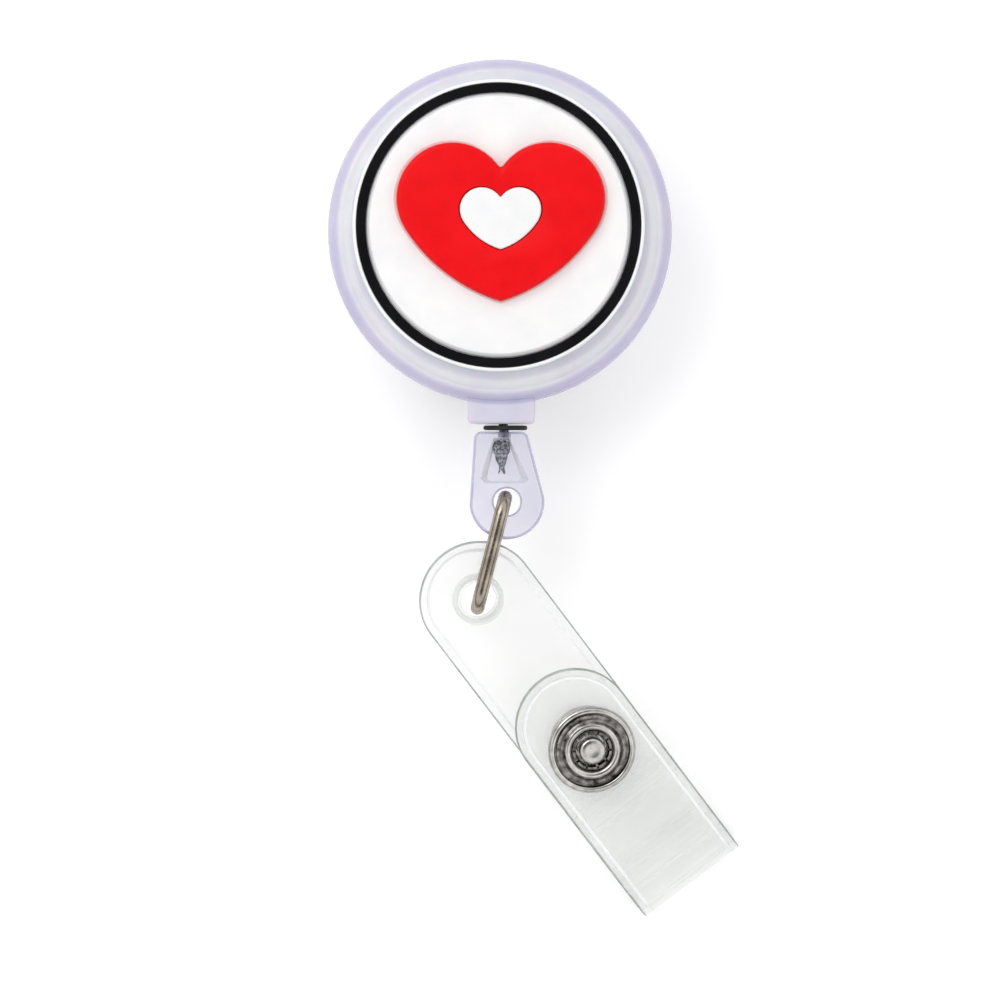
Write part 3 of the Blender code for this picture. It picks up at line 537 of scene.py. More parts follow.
def makeSpool():
    low, high = boxOf("spool")
    bottom, top = low.z, high.z
    flange, radius, drum = spoolSizes["flange"], spoolSizes["radius"], spoolSizes["drum"]
    chamber, bore = spoolSizes["chamber"], spoolSizes["bore"]
    profile = [(chamber, top), (chamber + 0.1, top), (radius - 0.12, top), (radius, top - 0.12),
               (radius, top - flange + 0.1), (radius - 0.1, top - flange), (drum, top - flange),
               (drum, bottom + flange), (radius - 0.1, bottom + flange), (radius, bottom + flange - 0.1),
               (radius, bottom + 0.12), (radius - 0.12, bottom), (bore, bottom), (bore, bottom + flange),
               (chamber, bottom + flange)]
    piece = turnedPiece("cordSpool", profile, segments=128, ring=True)
    combine(piece, blockPiece("catch", (-chamber - 0.6, -0.35, bottom + flange),
                              (-chamber + 0.3, 0.35, top + 1)))
    return finishPiece(piece, nylonFinish, "spool_plastic", "spool", "spool")


def makePowerSpring():
    low, high = boxOf("power_spring")
    turns, inner, outer = spoolSizes["springTurns"], spoolSizes["springStart"], spoolSizes["chamber"] - 0.3
    count = 220
    path = [(2.3, 0), (2.8, 0)]
    for i in range(count + 1):
        angle = 2 * math.pi * turns * i / count
        radius = inner + (outer - inner) * i / count
        path.append((radius * math.cos(angle), radius * math.sin(angle)))
    path.append((-spoolSizes["chamber"] - 0.3, 0))
    piece = curvePiece("powerSpring", [path], cyclic=False, height=(low.z + high.z) / 2)
    piece.data.dimensions = "3D"
    piece.data.twist_mode = "Z_UP"
    piece.data.extrude = mm(high.z - low.z) / 2
    piece = meshFromCurve(piece)
    applyModifier(piece, "SOLIDIFY", thickness=mm(spoolSizes["springSheet"]), offset=0)
    return finishPiece(piece, springFinish, "spring_steel", "spool", "power_spring")


def makeWinding():
    # two turns side by side in each layer, stepped outwards where a layer is full
    cord = spoolSizes["cord"]
    start = spoolSizes["drum"] + cord + 0.05
    step = (spoolSizes["outer"] - cord - start) / (spoolSizes["layers"] - 1)
    path = []
    perTurn = 40
    for layer in range(spoolSizes["layers"]):
        rows = (-0.5, 0.5) if layer % 2 == 0 else (0.5, -0.5)
        for row in rows:
            for i in range(perTurn):
                angle = -2 * math.pi * i / perTurn
                late = max(0.0, i / perTurn - 0.85) / 0.15
                last = row == rows[1]
                radius = start + step * (layer + (late if last else 0))
                side = row if last else row + (rows[1] - row) * late
                path.append((radius * math.cos(angle), radius * math.sin(angle),
                             cordHeight + side * 2.04 * cord))
    path = path[:-6]  # stops short of where the cord leaves the spool
    piece = wirePiece("cordWinding", path, cord * 0.97, sides=2)
    return finishPiece(piece, cordFinish, "cord_fibre", "spool", "cord_winding", smooth=60)


makeSpool()
makePowerSpring()
makeWinding()
print("spool made")


# the cord's straight stretch, from the winding through the exit to the knot in the tag
tagLow, tagHigh = boxOf("cord_tag")
tagTop = tagHigh.y
leadSizes = {"bend": (-0.2, -14.9), "radius": 0.43, "strands": 7}


def makeLead():
    bendX, bendY = leadSizes["bend"]
    startX, startY = leadLow.x + 0.25, leadHigh.y - 0.25
    count = 10
    path = [(startX + (bendX - startX) * i / count, startY + (bendY - startY) * i / count)
            for i in range(count)]
    path += [(bendX - 0.04, bendY + 0.02), (bendX + 0.14, bendY - 0.16), (bendX + 0.27, bendY - 0.42),
             (exitX + 0.1, bendY - 0.85), (exitX + 0.12, bendY - 1.6), (exitX + 0.15, exitEnd + 0.6),
             (exitX + 0.15, exitEnd), (exitX + 0.22, tagTop), (exitX + 0.26, tagTop - 0.76)]
    piece = wirePiece("cordLead", [(x, y, cordHeight) for x, y in path], leadSizes["radius"])
    piece = finishPiece(piece, cordFinish, "cord_fibre", None, "cord_lead", smooth=60)
    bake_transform(piece)


def makeKnot():
    # an overhand knot pulled tight, and a frayed tail
    low, high = boxOf("cord_knot")
    middle = (low + high) / 2
    middle.x -= 0.3
    top = high.y + 0.2
    path = []
    steps = 72
    for i in range(steps + 1):
        t = 2 * math.pi * i / steps
        x = 0.42 * (math.sin(t) + 2 * math.sin(2 * t)) / 2.4
        y = 0.46 * (math.cos(t) - 2 * math.cos(2 * t)) / 2.4
        z = -0.26 * math.sin(3 * t)
        path.append((middle.x + x, top - 0.9 + y * 1.7, cordHeight + z))
    knot = wirePiece("cordKnot", path[:-2], 0.36, sides=3)
    middle.z = cordHeight
    stub = wirePiece("stub", [(middle.x - 0.06, top - 0.02, middle.z), (middle.x, top - 0.5, middle.z)], 0.36,
                     sides=3)
    tail = wirePiece("tail", [(middle.x, top - 1.1, middle.z), (middle.x + 0.1, top - 1.9, middle.z + 0.1),
                              (middle.x + 0.02, top - 2.3, middle.z + 0.12)], 0.33, sides=3)
    strands = []
    for i in range(leadSizes["strands"]):
        turn = 2 * math.pi * i / leadSizes["strands"]
        reach = 0.55 + 0.2 * math.sin(i * 2.4)
        spread = 0.17
        away, up = spread * math.cos(turn), spread * math.sin(turn)
        side = spread * 1.9 * math.cos(turn + 0.4)
        strands.append(wirePiece("strand", [
            (middle.x + 0.02 + away, top - 2.2, middle.z + 0.12 + up),
            (middle.x + 0.02 + away * 1.3, top - 2.35 - reach / 2, middle.z + 0.12 + up * 1.2),
            (middle.x + 0.06 + side, top - 2.3 - reach, middle.z + 0.12 + up * 1.3),
        ], 0.06, sides=1))
    deselectAll()
    for part in [stub, tail, *strands, knot]:
        part.select_set(True)
    bpy.context.view_layer.objects.active = knot
    bpy.ops.object.join()
    return finishPiece(knot, cordFinish, "cord_fibre", "tag", "cord_knot", smooth=60)


makeLead()
makeKnot()
print("cord made")


# charm: a soft moulded badge with a black ring and a raised heart
charm = {
    "ringInner": 12.24,
    "ringOuter": 13.15,
    "disc": 12.2,
    "discRound": 0.2,
    "discTaper": 0.26,
    "heartRound": 0.6,     # as much of it as the outline's steps allow
    "halo": 0.3,           # thin lip of white resin round the heart
    "haloRise": 0.16,
    "inlayGap": 0.12,
}


def makeCharm():
    low, high = boxOf("charm_base")
    motifLow, motifHigh = boxOf("charm_motif")
    inlayLow, inlayHigh = boxOf("charm_inlay")
    ringLow, ringHigh = boxOf("charm_ring")
    middle = (low + high) / 2
    centre = (middle.x, middle.y)
    radius = (high.x - low.x) / 2
    rim, top, floor = ringHigh.z, high.z, ringLow.z
    disc, soft = charm["disc"], charm["discRound"]
    taper = charm["discTaper"]
    profile = [(0.3, top)] + arcPoints((disc - taper - soft, top - soft), (soft, soft), 90, 25, 6)
    grooveSide = charm["ringOuter"] + 0.05
    profile += [(disc - 0.05, rim - 0.03), (disc + 0.02, floor), (grooveSide, floor),
                (grooveSide, rim - 0.06)]
    profile += arcPoints((grooveSide + 0.06, rim - 0.06), (0.06, 0.06), 180, 90, 3)[1:]
    profile += arcPoints((radius - 0.2, rim - 0.2), (0.2, 0.2), 90, 0, 5)
    profile += [(radius, low.z + 0.15), (radius - 0.1, low.z), (0.3, low.z)]
    base = turnedPiece("charmBase", profile, centre, segments=192)
    motifWidth = motifHigh.x - motifLow.x
    motifMiddle = ((motifLow.x + motifHigh.x) / 2, (motifLow.y + motifHigh.y) / 2)
    halo = outlinePiece("halo", [heartPoints(motifWidth + 2 * charm["halo"], motifMiddle)], top - 0.3,
                        top + charm["haloRise"])
    bevelEdges(halo, 0.1, 3, 50)
    combine(base, halo, "UNION")
    seat = outlinePiece("seat", [heartPoints(motifWidth + 0.06, motifMiddle)], top + 0.02, top + 2)
    combine(base, seat)
    finishPiece(base, whiteResin, "charm_white", "casing", "charm_base")
    lip = [face.index for face in base.data.polygons if face.center.z * 1000 > top + 0.02]
    secondFinish(base, blushResin, lip)

    inner, outer = charm["ringInner"] + 0.04, charm["ringOuter"]
    ringProfile = [(inner, rim - 0.1), (inner + 0.1, rim - 0.02), (outer - 0.08, rim - 0.02),
                   (outer, rim - 0.1), (outer, floor + 0.02), (inner, floor + 0.02)]
    ring = turnedPiece("charmRing", ringProfile, centre, segments=192, ring=True)
    finishPiece(ring, blackResin, "charm_black", "casing", "charm_ring")

    motif = outlinePiece("charmHeart", [heartPoints(motifWidth, motifMiddle)], motifLow.z, motifHigh.z)
    bevelEdges(motif, charm["heartRound"], 5, 50)
    inlayWidth = inlayHigh.x - inlayLow.x
    inlayMiddle = ((inlayLow.x + inlayHigh.x) / 2, (inlayLow.y + inlayHigh.y) / 2)
    pocket = outlinePiece("pocket", [heartPoints(inlayWidth + 2 * charm["inlayGap"], inlayMiddle)],
                          inlayLow.z - 0.02, motifHigh.z + 1)
    combine(motif, pocket)
    bevelEdges(motif, 0.1, 2, 60)
    finishPiece(motif, redResin, "charm_red", "casing", "charm_motif")

    inlay = outlinePiece("charmInlay", [heartPoints(inlayWidth, inlayMiddle)], inlayLow.z, inlayHigh.z)
    bevelEdges(inlay, 0.22, 4, 50)
    finishPiece(inlay, whiteResin, "charm_white", "casing", "charm_inlay")


makeCharm()
print("charm made")


# tag: clear plastic with a round end, a hole for the link and a pocket that holds the knot
tagSizes = {
    "top": 2.55,           # half width at the top
    "topShift": 0.53,      # the top stands this far left of the hole
    "lobe": 3.5,
    "corner": 0.7,
    "edge": 0.42,
    "hole": 1.25,
    "countersink": 0.17,
    "pocketTop": 0.5,      # from the tag's top edge
    "pocketBottom": 4.9,
    "pocketFloor": (0.62, 0.88),   # its floor as a share of its mouth, across and along
    "pocketDepth": 0.83,   # below the middle of the cord
    "bore": 0.62,
}


def makeTag():
    x, y = tagHole.x, tagHole.y
    side, corner, lobe = tagSizes["top"], tagSizes["corner"], tagSizes["lobe"]
    topX = x - tagSizes["topShift"]
    angle = math.degrees(math.atan2(lobe - side, tagTop - y)) * 0.9
    outline = arcPoints((topX + side - corner, tagTop - corner), (corner, corner), 90, angle, 6)[::-1]
    outline += arcPoints((topX - side + corner, tagTop - corner), (corner, corner), 180 - angle, 90, 6)[::-1]
    outline += arcPoints((x, y), (lobe, lobe), 180 + angle, 360 - angle + 2 * angle, 48)
    low, high = tagLow.z, tagHigh.z
    piece = outlinePiece("cordTag", [outline], low, high)
    bevelEdges(piece, tagSizes["edge"], 4, 50, clamp=False)
    hole, sink = tagSizes["hole"], tagSizes["countersink"]
    drill = [(0.3, high + 1), (hole + sink + 1, high + 1), (hole, high - sink), (hole, low + sink),
             (hole + sink + 1, low - 1), (0.3, low - 1)]
    combine(piece, turnedPiece("drill", drill, (x, y), segments=64))
    top, bottom = tagTop - tagSizes["pocketTop"], tagTop - tagSizes["pocketBottom"]
    floor = cordHeight - tagSizes["pocketDepth"]
    mouth = [(topX - 0.85, top), (topX - 2.2, bottom + 0.45), (topX - 1.75, bottom), (topX + 2.5, bottom),
             (topX + 2.95, bottom + 0.45), (topX + 0.95, top)]
    pocket = outlinePiece("pocket", [mouth], floor, high + 1)
    pickFaces(pocket, lambda face: face.normal.z < -0.9)
    bpy.ops.transform.resize(value=(*tagSizes["pocketFloor"], 1),
                             center_override=(mm(topX), mm((top + bottom) / 2), mm(floor)))
    bpy.ops.object.mode_set(mode="OBJECT")
    combine(piece, pocket)
    boreX = exitX + 0.24
    combine(piece, rodPiece("bore", (boreX, tagTop + 1, cordHeight), (boreX, top - 0.6, cordHeight),
                            tagSizes["bore"]))
    bevelEdges(piece, 0.08, 2, 40)
    finishPiece(piece, tagFinish, "clear_lilac", "tag", "cord_tag", smooth=30)
    applyModifier(piece, "WEIGHTED_NORMAL", keep_sharp=True)
    walls, rims = [], []
    for face in piece.data.polygons:
        place = face.center * 1000
        down = (top - place.y) / (top - bottom)
        inside = topX - 0.95 - 1.4 * down < place.x < topX + 1.05 + 2.1 * down
        if abs(face.normal.z) < 0.9 and -0.03 < down < 0.9 and place.z > floor and inside:
            walls.append(face.index)
        elif abs(face.normal.z) < 0.97:
            rims.append(face.index)
    # the pocket's walls get the painted highlight
    secondFinish(piece, frostAndHighlightFinish, walls)
    secondFinish(piece, rimFinish, rims)


stopWasherBore = 0.72
linkSizes = {"wire": 0.65, "corner": 1.7, "seam": 0.42}  # its ends meet at this share of the lower leg


def makeStopWasher():
    low, high = boxOf("stop_washer")
    middle = (low + high) / 2
    radius = (high.x - low.x) / 2
    thick = high.y - low.y
    profile = [(stopWasherBore, 0), (radius - 0.12, 0), (radius, -0.1), (radius, -thick + 0.1),
               (radius - 0.12, -thick), (stopWasherBore, -thick)]
    piece = turnedPiece("stopWasher", profile, segments=64, ring=True)
    turn = Matrix.Rotation(math.radians(-90), 4, "X")
    piece.data.transform(Matrix.Translation((mm(middle.x), mm(high.y), mm(cordHeight))) @ turn)
    return finishPiece(piece, rubberFinish, "black_rubber", "tag", "stop_washer")


def makeLink():
    # an oval of wire whose ends meet on the lower leg
    low, high = boxOf("link_ring")
    radius, corner = linkSizes["wire"], linkSizes["corner"]
    rise = (high.z - low.z) / 2 - radius
    start = Vector((tagHole.x - 0.15, tagHole.y + 0.40))
    end = Vector((strapHole.x - 0.05, strapHole.y - 0.78))
    along = (end - start).normalized()
    length = (end - start).length
    seam = length * linkSizes["seam"]
    path = [(seam + 0.06, -rise)]
    path += arcPoints((length - corner, -rise + corner), (corner, corner), -90, 0, 12)
    path += arcPoints((length - corner, rise - corner), (corner, corner), 0, 90, 12)
    path += arcPoints((corner, rise - corner), (corner, corner), 90, 180, 12)
    path += arcPoints((corner, -rise + corner), (corner, corner), 180, 270, 12)
    path += [(seam - 0.06, -rise)]
    path = [(start.x + along.x * s, start.y + along.y * s, cordHeight + z) for s, z in path]
    piece = wirePiece("linkRing", path, radius, sides=10)
    bevelEdges(piece, 0.1, 2, 60)
    return finishPiece(piece, nickelFinish, "nickel", "link", "link_ring", smooth=50)


makeTag()
makeStopWasher()
makeLink()
print("tag and link made")


# strap: one strip of clear vinyl with welded borders, laid flat, then rolled over at the fold
strap = {"width": 11.1, "thickness": 0.55, "roll": 1.425, "hole": 1.95, "border": 0.75, "groove": 0.12,
         "grooveDepth": 0.07, "edge": 0.2, "snapInset": 8.35, "postHole": 0.9, "snapHole": 2.1, "flap": 23.45,
         "bow": 0.45, "bowEnd": 10.6}
flapTip = strapLength - strap["flap"]
snapPlace = flapTip + strap["snapInset"]
strapFrame = Matrix((strapAlong, foldAxis, strapUp)).transposed().to_4x4()
strapFrame.translation = strapHole * 0.001
flapHeight = 2 * strap["roll"]
half = strap["thickness"] / 2


def intoStrap(piece):
    piece.data.transform(strapFrame)
    return piece


def makeStrap():
    side = strap["width"] / 2
    rollLength = math.pi * strap["roll"]
    flatEnd = strapLength + rollLength + strap["flap"]
    outline = arcPoints((0, 0), (side, side), 90, 270, 48)
    outline += arcPoints((flatEnd - side, 0), (side, side), -90, 90, 48)
    holes = [circlePoints((0, 0), strap["hole"]), circlePoints((snapPlace, 0), strap["postHole"], 32),
             circlePoints((flatEnd - strap["snapInset"], 0), strap["snapHole"])]
    piece = outlinePiece("vinylStrap", [outline, *holes], -half, half)
    for up in (1, -1):
        pickFaces(piece, lambda face: face.normal.z * up > 0.9)
        for width, depth in ((strap["border"], 0), (strap["groove"], -strap["grooveDepth"]),
                             (strap["groove"], strap["grooveDepth"])):
            bpy.ops.mesh.inset(thickness=mm(width), depth=mm(depth), use_boundary=True)
        bpy.ops.object.mode_set(mode="OBJECT")
    bevelEdges(piece, strap["edge"], 3, 60)
    makeActive(piece)
    bpy.ops.object.mode_set(mode="EDIT")
    # close together round the fold and along the bowed flap, wide apart where the strap lies flat
    cuts = [strapLength + rollLength * i / 28 for i in range(29)]
    cuts += [2 + i * 2.0 for i in range(15)] + [strapLength + rollLength + 0.4 + i * 0.4 for i in range(26)]
    for cut in cuts:
        bpy.ops.mesh.select_all(action="SELECT")
        bpy.ops.mesh.bisect(plane_co=(mm(cut), 0, 0), plane_no=(1, 0, 0))
    bpy.ops.object.mode_set(mode="OBJECT")
    cutEdge, weldLine = [], []
    lineStart = side - strap["border"]
    for face in piece.data.polygons:
        u, v = face.center.x * 1000, face.center.y * 1000
        reach = math.hypot(u - min(max(u, 0), flatEnd - side), v)
        if reach > side - 0.19:
            cutEdge.append(face.index)
        elif lineStart - 2 * strap["groove"] < reach < lineStart:
            weldLine.append(face.index)
    roll, bow = mm(strap["roll"]), mm(strap["bow"])
    first, last, bowEnd = mm(strapLength), mm(strapLength + rollLength), mm(strap["bowEnd"])
    for vertex in piece.data.vertices:
        u, v, n = vertex.co
        if u > last:
            lift = bow * math.sin(math.pi * min((u - last) / bowEnd, 1)) ** 2
            vertex.co = (first - (u - last), v, 2 * roll - n + lift)
        elif u > first:
            angle = (u - first) / roll
            vertex.co = (first + (roll - n) * math.sin(angle), v, roll - (roll - n) * math.cos(angle))
    intoStrap(piece)
    piece = finishPiece(piece, vinylFinish, "clear_vinyl", None, "strap_back", "strap_fold", "strap_flap")
    secondFinish(piece, edgeFinish, cutEdge)
    # the weld lines get the painted highlight
    secondFinish(piece, frostAndHighlightFinish, weldLine)
    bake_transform(piece)


eyelet = {"inside": 1.66, "flange": 2.4, "proud": 0.2}


def makeEyelet():
    inside, flange = eyelet["inside"], eyelet["flange"]
    top, waist = half + eyelet["proud"], strap["hole"] - 0.05
    profile = [(inside, top - 0.12), (inside + 0.12, top), (flange - 0.1, top), (flange, top - 0.08),
               (flange, half + 0.02), (waist, half + 0.02)]
    profile += [(radius, -height) for radius, height in profile[::-1]]
    piece = intoStrap(turnedPiece("strapEyelet", profile, segments=96, ring=True))
    return finishPiece(piece, vinylFinish, "clear_vinyl", "strap", "strap_eyelet")


makeStrap()
makeEyelet()
print("strap made")


# snap: cap and socket on the flap, stud and post on the strap
snapSizes = {
    "recess": (2.52, 3.56),    # radii between which the cap's plating is painted dark as shade and reflection
    "fingers": 10,             # spring fingers of the socket, parted by slits
    "slit": 0.22,
    "head": 0.9,               # the stud's head above the flap
}


def makeSnap():
    centre = (snapPlace, 0)
    base = flapHeight + half + 0.02
    cap = [(2.0, base + 0.45), (2.06, base + 0.6), (2.2, base + 0.72), (2.4, base + 0.76), (2.58, base + 0.7),
           (2.72, base + 0.55), (2.84, base + 0.38), (3.0, base + 0.3), (3.25, base + 0.3),
           (3.38, base + 0.33), (3.41, base + 0.03), (3.52, base + 0.03), (3.55, base + 0.38),
           (3.66, base + 0.47), (3.84, base + 0.48), (4.0, base + 0.4), (4.12, base + 0.22),
           (4.15, base + 0.06), (4.1, base), (2.0, base)]
    piece = turnedPiece("snapCap", cap, centre, 160, ring=True)
    recess = []
    for face in piece.data.polygons:
        reach = math.hypot(face.center.x * 1000 - snapPlace, face.center.y * 1000)
        if snapSizes["recess"][0] < reach < snapSizes["recess"][1] and face.normal.z > -0.5:
            recess.append(face.index)
    intoStrap(piece)
    finishPiece(piece, snapFinish, "snap_metal", "flap", "snap_cap", smooth=50)
    # the recess faces are painted dark: painted shade and a painted dark reflection
    secondFinish(piece, shadedNickelFinish, recess)

    under, top = flapHeight - half - 0.02, flapHeight + half + 0.42
    socket = [(1.48, top - 0.4), (1.52, top - 0.15), (1.62, top), (1.76, top), (1.9, top - 0.08),
              (1.9, under), (3.0, under), (3.1, under - 0.1), (3.1, under - 0.42), (2.95, under - 0.6),
              (2.7, under - 0.72), (1.9, under - 0.75), (1.7, under - 0.6), (1.5, under - 0.4)]
    piece = turnedPiece("snapSocket", socket, centre, 128, ring=True)
    fingers, slitHalf = snapSizes["fingers"], snapSizes["slit"] / 2
    for i in range(fingers):
        angle = 2 * math.pi * (i + 0.5) / fingers
        slit = blockPiece("slit", (1.2, -slitHalf, top - 0.42), (1.84, slitHalf, top + 1))
        slit.data.transform(Matrix.Translation((mm(snapPlace), 0, 0)) @ Matrix.Rotation(angle, 4, "Z"))
        combine(piece, slit)
    intoStrap(piece)
    # the whole socket is painted dark as the shade in the gap round the stud
    finishPiece(piece, shadedNickelFinish, "snap_metal", "flap", "snap_socket", smooth=45)

    flange = half + 0.03
    head = flapHeight + half + snapSizes["head"]
    stud = [(0.3, head - 0.06), (0.5, head - 0.02), (0.82, head), (0.95, head - 0.03)]
    stud += arcPoints((0.92, head - 0.37), (0.34, 0.34), 75, 0, 6)
    stud += [(1.26, head - 0.6), (1.2, head - 0.9), (1.12, head - 1.2), (1.12, flange + 0.9),
             (1.24, flange + 0.6), (1.5, flange + 0.42), (3.15, flange + 0.4), (3.36, flange + 0.3),
             (3.4, flange + 0.15), (3.4, flange), (0.8, flange), (0.8, flange + 1.6), (0.3, flange + 1.6)]
    piece = intoStrap(turnedPiece("snapStud", stud, centre, 128))
    finishPiece(piece, snapFinish, "snap_metal", "strap", "snap_stud", smooth=45)

    low = -half - 0.03
    post = [(0.2, half + 1.3), (0.42, half + 1.3), (0.58, half + 1.15), (0.6, half + 1.0), (0.6, low),
            (3.3, low), (3.4, low - 0.1), (3.38, low - 0.2), (3.1, low - 0.36), (2.6, low - 0.4),
            (2.3, low - 0.36), (2.2, low - 0.3), (0.3, low - 0.3)]
    piece = intoStrap(turnedPiece("snapPost", post, centre, 128))
    finishPiece(piece, snapFinish, "snap_metal", "strap", "snap_post", smooth=45)


makeSnap()
print("snap made")


# clip and swivel: sheet steel, a pin, a coil spring, a rivet and a nylon washer
swivel = {"shank": 1.0, "head": 2.1, "washer": 2.4, "washerBore": 1.3}


def makeSwivel():
    low, high = boxOf("swivel_rivet")
    shank, head = swivel["shank"], swivel["head"]
    plateTop = boxOf("clip_plate")[1].z
    backFloor = backLow.z + casing["wall"]
    headTop = plateTop - 0.75  # against the underside of the plate's sheet
    profile = [(0.2, high.z - 0.05), (0.7, high.z - 0.03), (1.2, high.z - 0.14), (1.5, high.z - 0.3),
               (1.55, backFloor + 0.15), (shank, backFloor + 0.15), (shank, headTop), (head - 0.1, headTop),
               (head, headTop - 0.1), (head - 0.1, headTop - 0.25), (head - 0.6, headTop - 0.42),
               (0.9, headTop - 0.48), (0.2, headTop - 0.5)]
    rivet = turnedPiece("swivelRivet", profile, segments=96)
    finishPiece(rivet, nickelFinish, "nickel", "casing", "swivel_rivet", smooth=40)
    low, high = boxOf("swivel_washer")
    bore, outer = swivel["washerBore"], swivel["washer"]
    profile = [(bore, high.z), (outer - 0.1, high.z), (outer, high.z - 0.1), (outer, low.z + 0.1),
               (outer - 0.1, low.z), (bore, low.z)]
    washer = turnedPiece("swivelWasher", profile, segments=96, ring=True)
    finishPiece(washer, nylonFinish, "nylon", "casing", "swivel_washer", smooth=40)


makeSwivel()


clip = {
    "nose": 15.2,          # rivet to nose
    "corner": 0.5,
    "sheet": 0.6,
    "edge": 0.12,
    "ear": 1.3,            # round end of an ear, about the pin
    "earRoot": 2.4,        # half width of an ear where it leaves the sheet
    "gap": 0.3,
    "lip": 2.9,            # half width of the toothed lips
    "teeth": 4,
    "pin": 0.6,
    "bore": 1.3,
    "wire": 0.22,
    "turns": 3.5,
}
pinPlace = Vector(jointNamed("jaw_open")["pos_m"]) * 1000


def makeSheet(name, node, body, holes):
    # one half of the clip: a plate with rounded ends, two ears and a toothed lip
    low, high = boxOf(node)
    side, sheet, nose = min(high.x, 4.0), clip["sheet"], clip["nose"]
    upper = high.z > pinPlace.z + clip["ear"] + 0.5
    root = high.z - 0.1 if upper else low.z + 0.1
    corner = clip["corner"]
    across, down = clip["lip"] + 0.12 - corner, -nose + corner
    outline = arcPoints((-across, down), (corner, corner), 180, 270, 8)
    outline += arcPoints((across, down), (corner, corner), 270, 360, 8)
    outline += [(side, -nose * 0.6), (side, 0)] + arcPoints((0, high.y - side), (side, side), 0, 180, 32)
    outline += [(-side, 0), (-side, -nose * 0.6)]
    bottom = high.z - sheet if upper else low.z
    piece = outlinePiece(name, [outline, *holes], bottom, bottom + sheet)
    edge = -nose + 0.05
    meet = pinPlace.z + (0.12 if upper else -0.12)
    ends = sorted((root, meet))
    lip = blockPiece("lip", (-clip["lip"], edge, ends[0]), (clip["lip"], edge + sheet, ends[1]))
    combine(piece, lip, "UNION")
    start = 180 if upper else 0
    reach = clip["earRoot"] if upper else -clip["earRoot"]
    ear = arcPoints((pinPlace.y, pinPlace.z), (clip["ear"], clip["ear"]), start, start + 180, 20)
    ear += [(pinPlace.y + reach, root), (pinPlace.y - reach, root)]
    turn = Matrix(((0, 0, 1, 0), (1, 0, 0, 0), (0, 1, 0, 0), (0, 0, 0, 1)))
    outer = side if upper else side - sheet - clip["gap"]
    for inner in (outer - sheet, -outer):
        tab = outlinePiece("ear", [ear, circlePoints((pinPlace.y, pinPlace.z), clip["pin"] + 0.15, 32)],
                           inner, inner + sheet)
        tab.data.transform(turn)
        combine(piece, tab, "UNION")
    pitch = 2 * clip["lip"] / (clip["teeth"] + 1)
    for i in range(clip["teeth"]):
        x = (i + 1) * pitch - clip["lip"]
        combine(piece, rodPiece("tooth", (x, edge - 1, meet), (x, edge + 2, meet), pitch * 0.42, sides=4))
    bevelEdges(piece, clip["edge"], 3, 40)
    return finishPiece(piece, nickelFinish, "nickel", body, node, smooth=40)


def makeClip():
    makeSheet("clipPlate", "clip_plate", "clip", [circlePoints((0, 0), clip["bore"])])
    makeSheet("clipJaw", "clip_jaw", "jaw", [])
    low, high = boxOf("clip_hinge_pin")
    end, pin = high.x, clip["pin"]
    half = [(0.3, end), (0.7, end), (0.9, end - 0.08), (1.0, end - 0.2), (1.0, end - 0.35), (pin, end - 0.35)]
    piece = turnedPiece("clipPin", half + [(radius, -height) for radius, height in half[::-1]], segments=48)
    place = Matrix.Translation(pinPlace * 0.001)
    piece.data.transform(place @ Matrix.Rotation(math.radians(90), 4, "Y"))
    finishPiece(piece, nickelFinish, "nickel", "clip", "clip_hinge_pin", smooth=40)

    low, high = boxOf("clip_spring")
    wire, turns = clip["wire"], clip["turns"]
    coil, wide = pin + 0.21 + wire, high.x - wire
    path = [(-wide, high.y - wire, high.z - wire)]
    count = round(turns * 24)
    for i in range(count + 1):
        angle = math.pi / 2 - 2 * math.pi * turns * i / count
        path.append((wide * (2 * i / count - 1), pinPlace.y + coil * math.cos(angle),
                     pinPlace.z + coil * math.sin(angle)))
    path.append((wide, high.y - wire, low.z + wire))
    piece = wirePiece("clipSpring", path, wire, sides=3)
    finishPiece(piece, springFinish, "spring_steel", None, "clip_spring", smooth=60)
    # its coils wind up from the leg on the plate to the leg on the jaw
    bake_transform(piece)


makeClip()
print("clip made")


# stage: pale floor, soft studio light from the upper left, camera straight above
stage = {"floorSize": 20.0, "distance": 0.5, "cameraX": 0.003, "viewWidth": 0.0933, "sensor": 36.0}


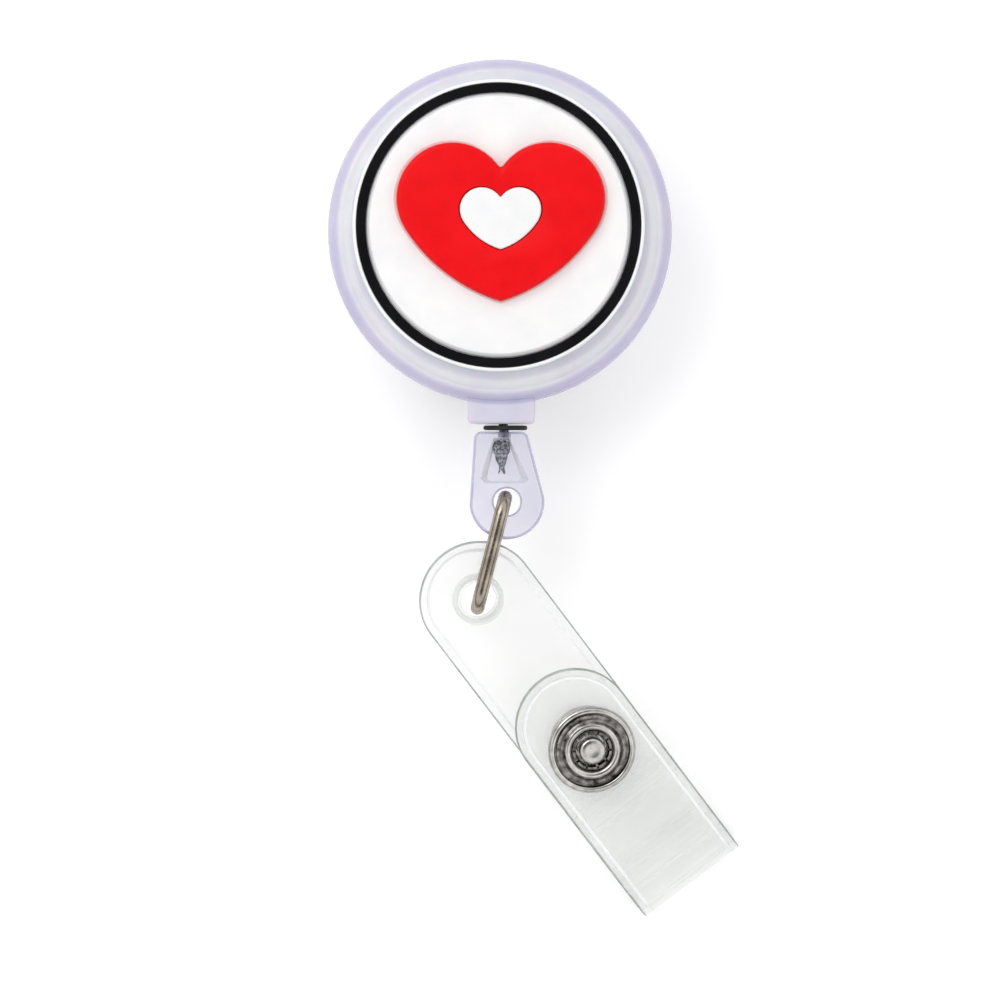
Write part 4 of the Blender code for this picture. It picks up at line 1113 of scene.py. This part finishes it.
def makeStage():
    deselectAll()
    bpy.ops.mesh.primitive_plane_add(size=stage["floorSize"], location=(0, 0, -0.00002))
    floor = bpy.context.object
    floor.name = "floor"
    material, tree, shader = newMaterial("paperWhite", Roughness=0.9)
    shader.inputs["Base Color"].default_value = (0.85, 0.85, 0.85, 1)
    shader.inputs["Emission Color"].default_value = (1, 1, 1, 1)
    shader.inputs["Emission Strength"].default_value = 0.28  # a light table
    floor.data.materials.append(material)

    world = bpy.data.worlds.new("studio")
    bpy.context.scene.world = world
    world.use_nodes = True
    tree = world.node_tree
    background = tree.nodes["Background"]
    place = addNode(tree, "ShaderNodeTexCoord")
    split = addNode(tree, "ShaderNodeSeparateXYZ", None, {"Vector": place.outputs["Generated"]})
    sky = addNode(tree, "ShaderNodeValToRGB",
                  {"stops": [(0.0, 0.05), (0.2, 0.3), (0.45, 1.0), (0.85, 1.0), (0.95, 0.25), (1.0, 0.12)]},
                  {"Fac": split.outputs["Z"]})
    tree.links.new(sky.outputs["Color"], background.inputs["Color"])
    background.inputs["Strength"].default_value = 1.1

    for name, place, size, power in (("keyLight", (-0.35, 0.35, 0.6), 0.5, 1.5),
                                     ("fillLight", (0.5, -0.2, 0.5), 0.6, 0.2)):
        light = bpy.data.lights.new(name, "AREA")
        light.size = size
        light.energy = power
        lamp = bpy.data.objects.new(name, light)
        bpy.context.scene.collection.objects.link(lamp)
        lamp.location = place
        lamp.rotation_euler = (Vector((0, -0.025, 0)) - Vector(place)).to_track_quat("-Z", "Y").to_euler()

    low, high = cadBox
    centre = Vector((0, (low.y + high.y) / 2 - 0.0008, mm(cordHeight)))
    camera = bpy.data.cameras.new("camera")
    camera.sensor_width = stage["sensor"]
    camera.lens = stage["sensor"] * stage["distance"] / stage["viewWidth"]
    holder = bpy.data.objects.new("camera", camera)
    bpy.context.scene.collection.objects.link(holder)
    holder.location = centre + Vector((stage["cameraX"], 0, stage["distance"]))
    back = (holder.location - centre).normalized()
    right = Vector((0, 1, 0)).cross(back).normalized()
    holder.rotation_euler = Matrix((right, back.cross(right), back)).transposed().to_euler()
    bpy.context.scene.camera = holder
    bpy.context.scene.view_settings.view_transform = "Standard"


makeStage()
print("stage made")
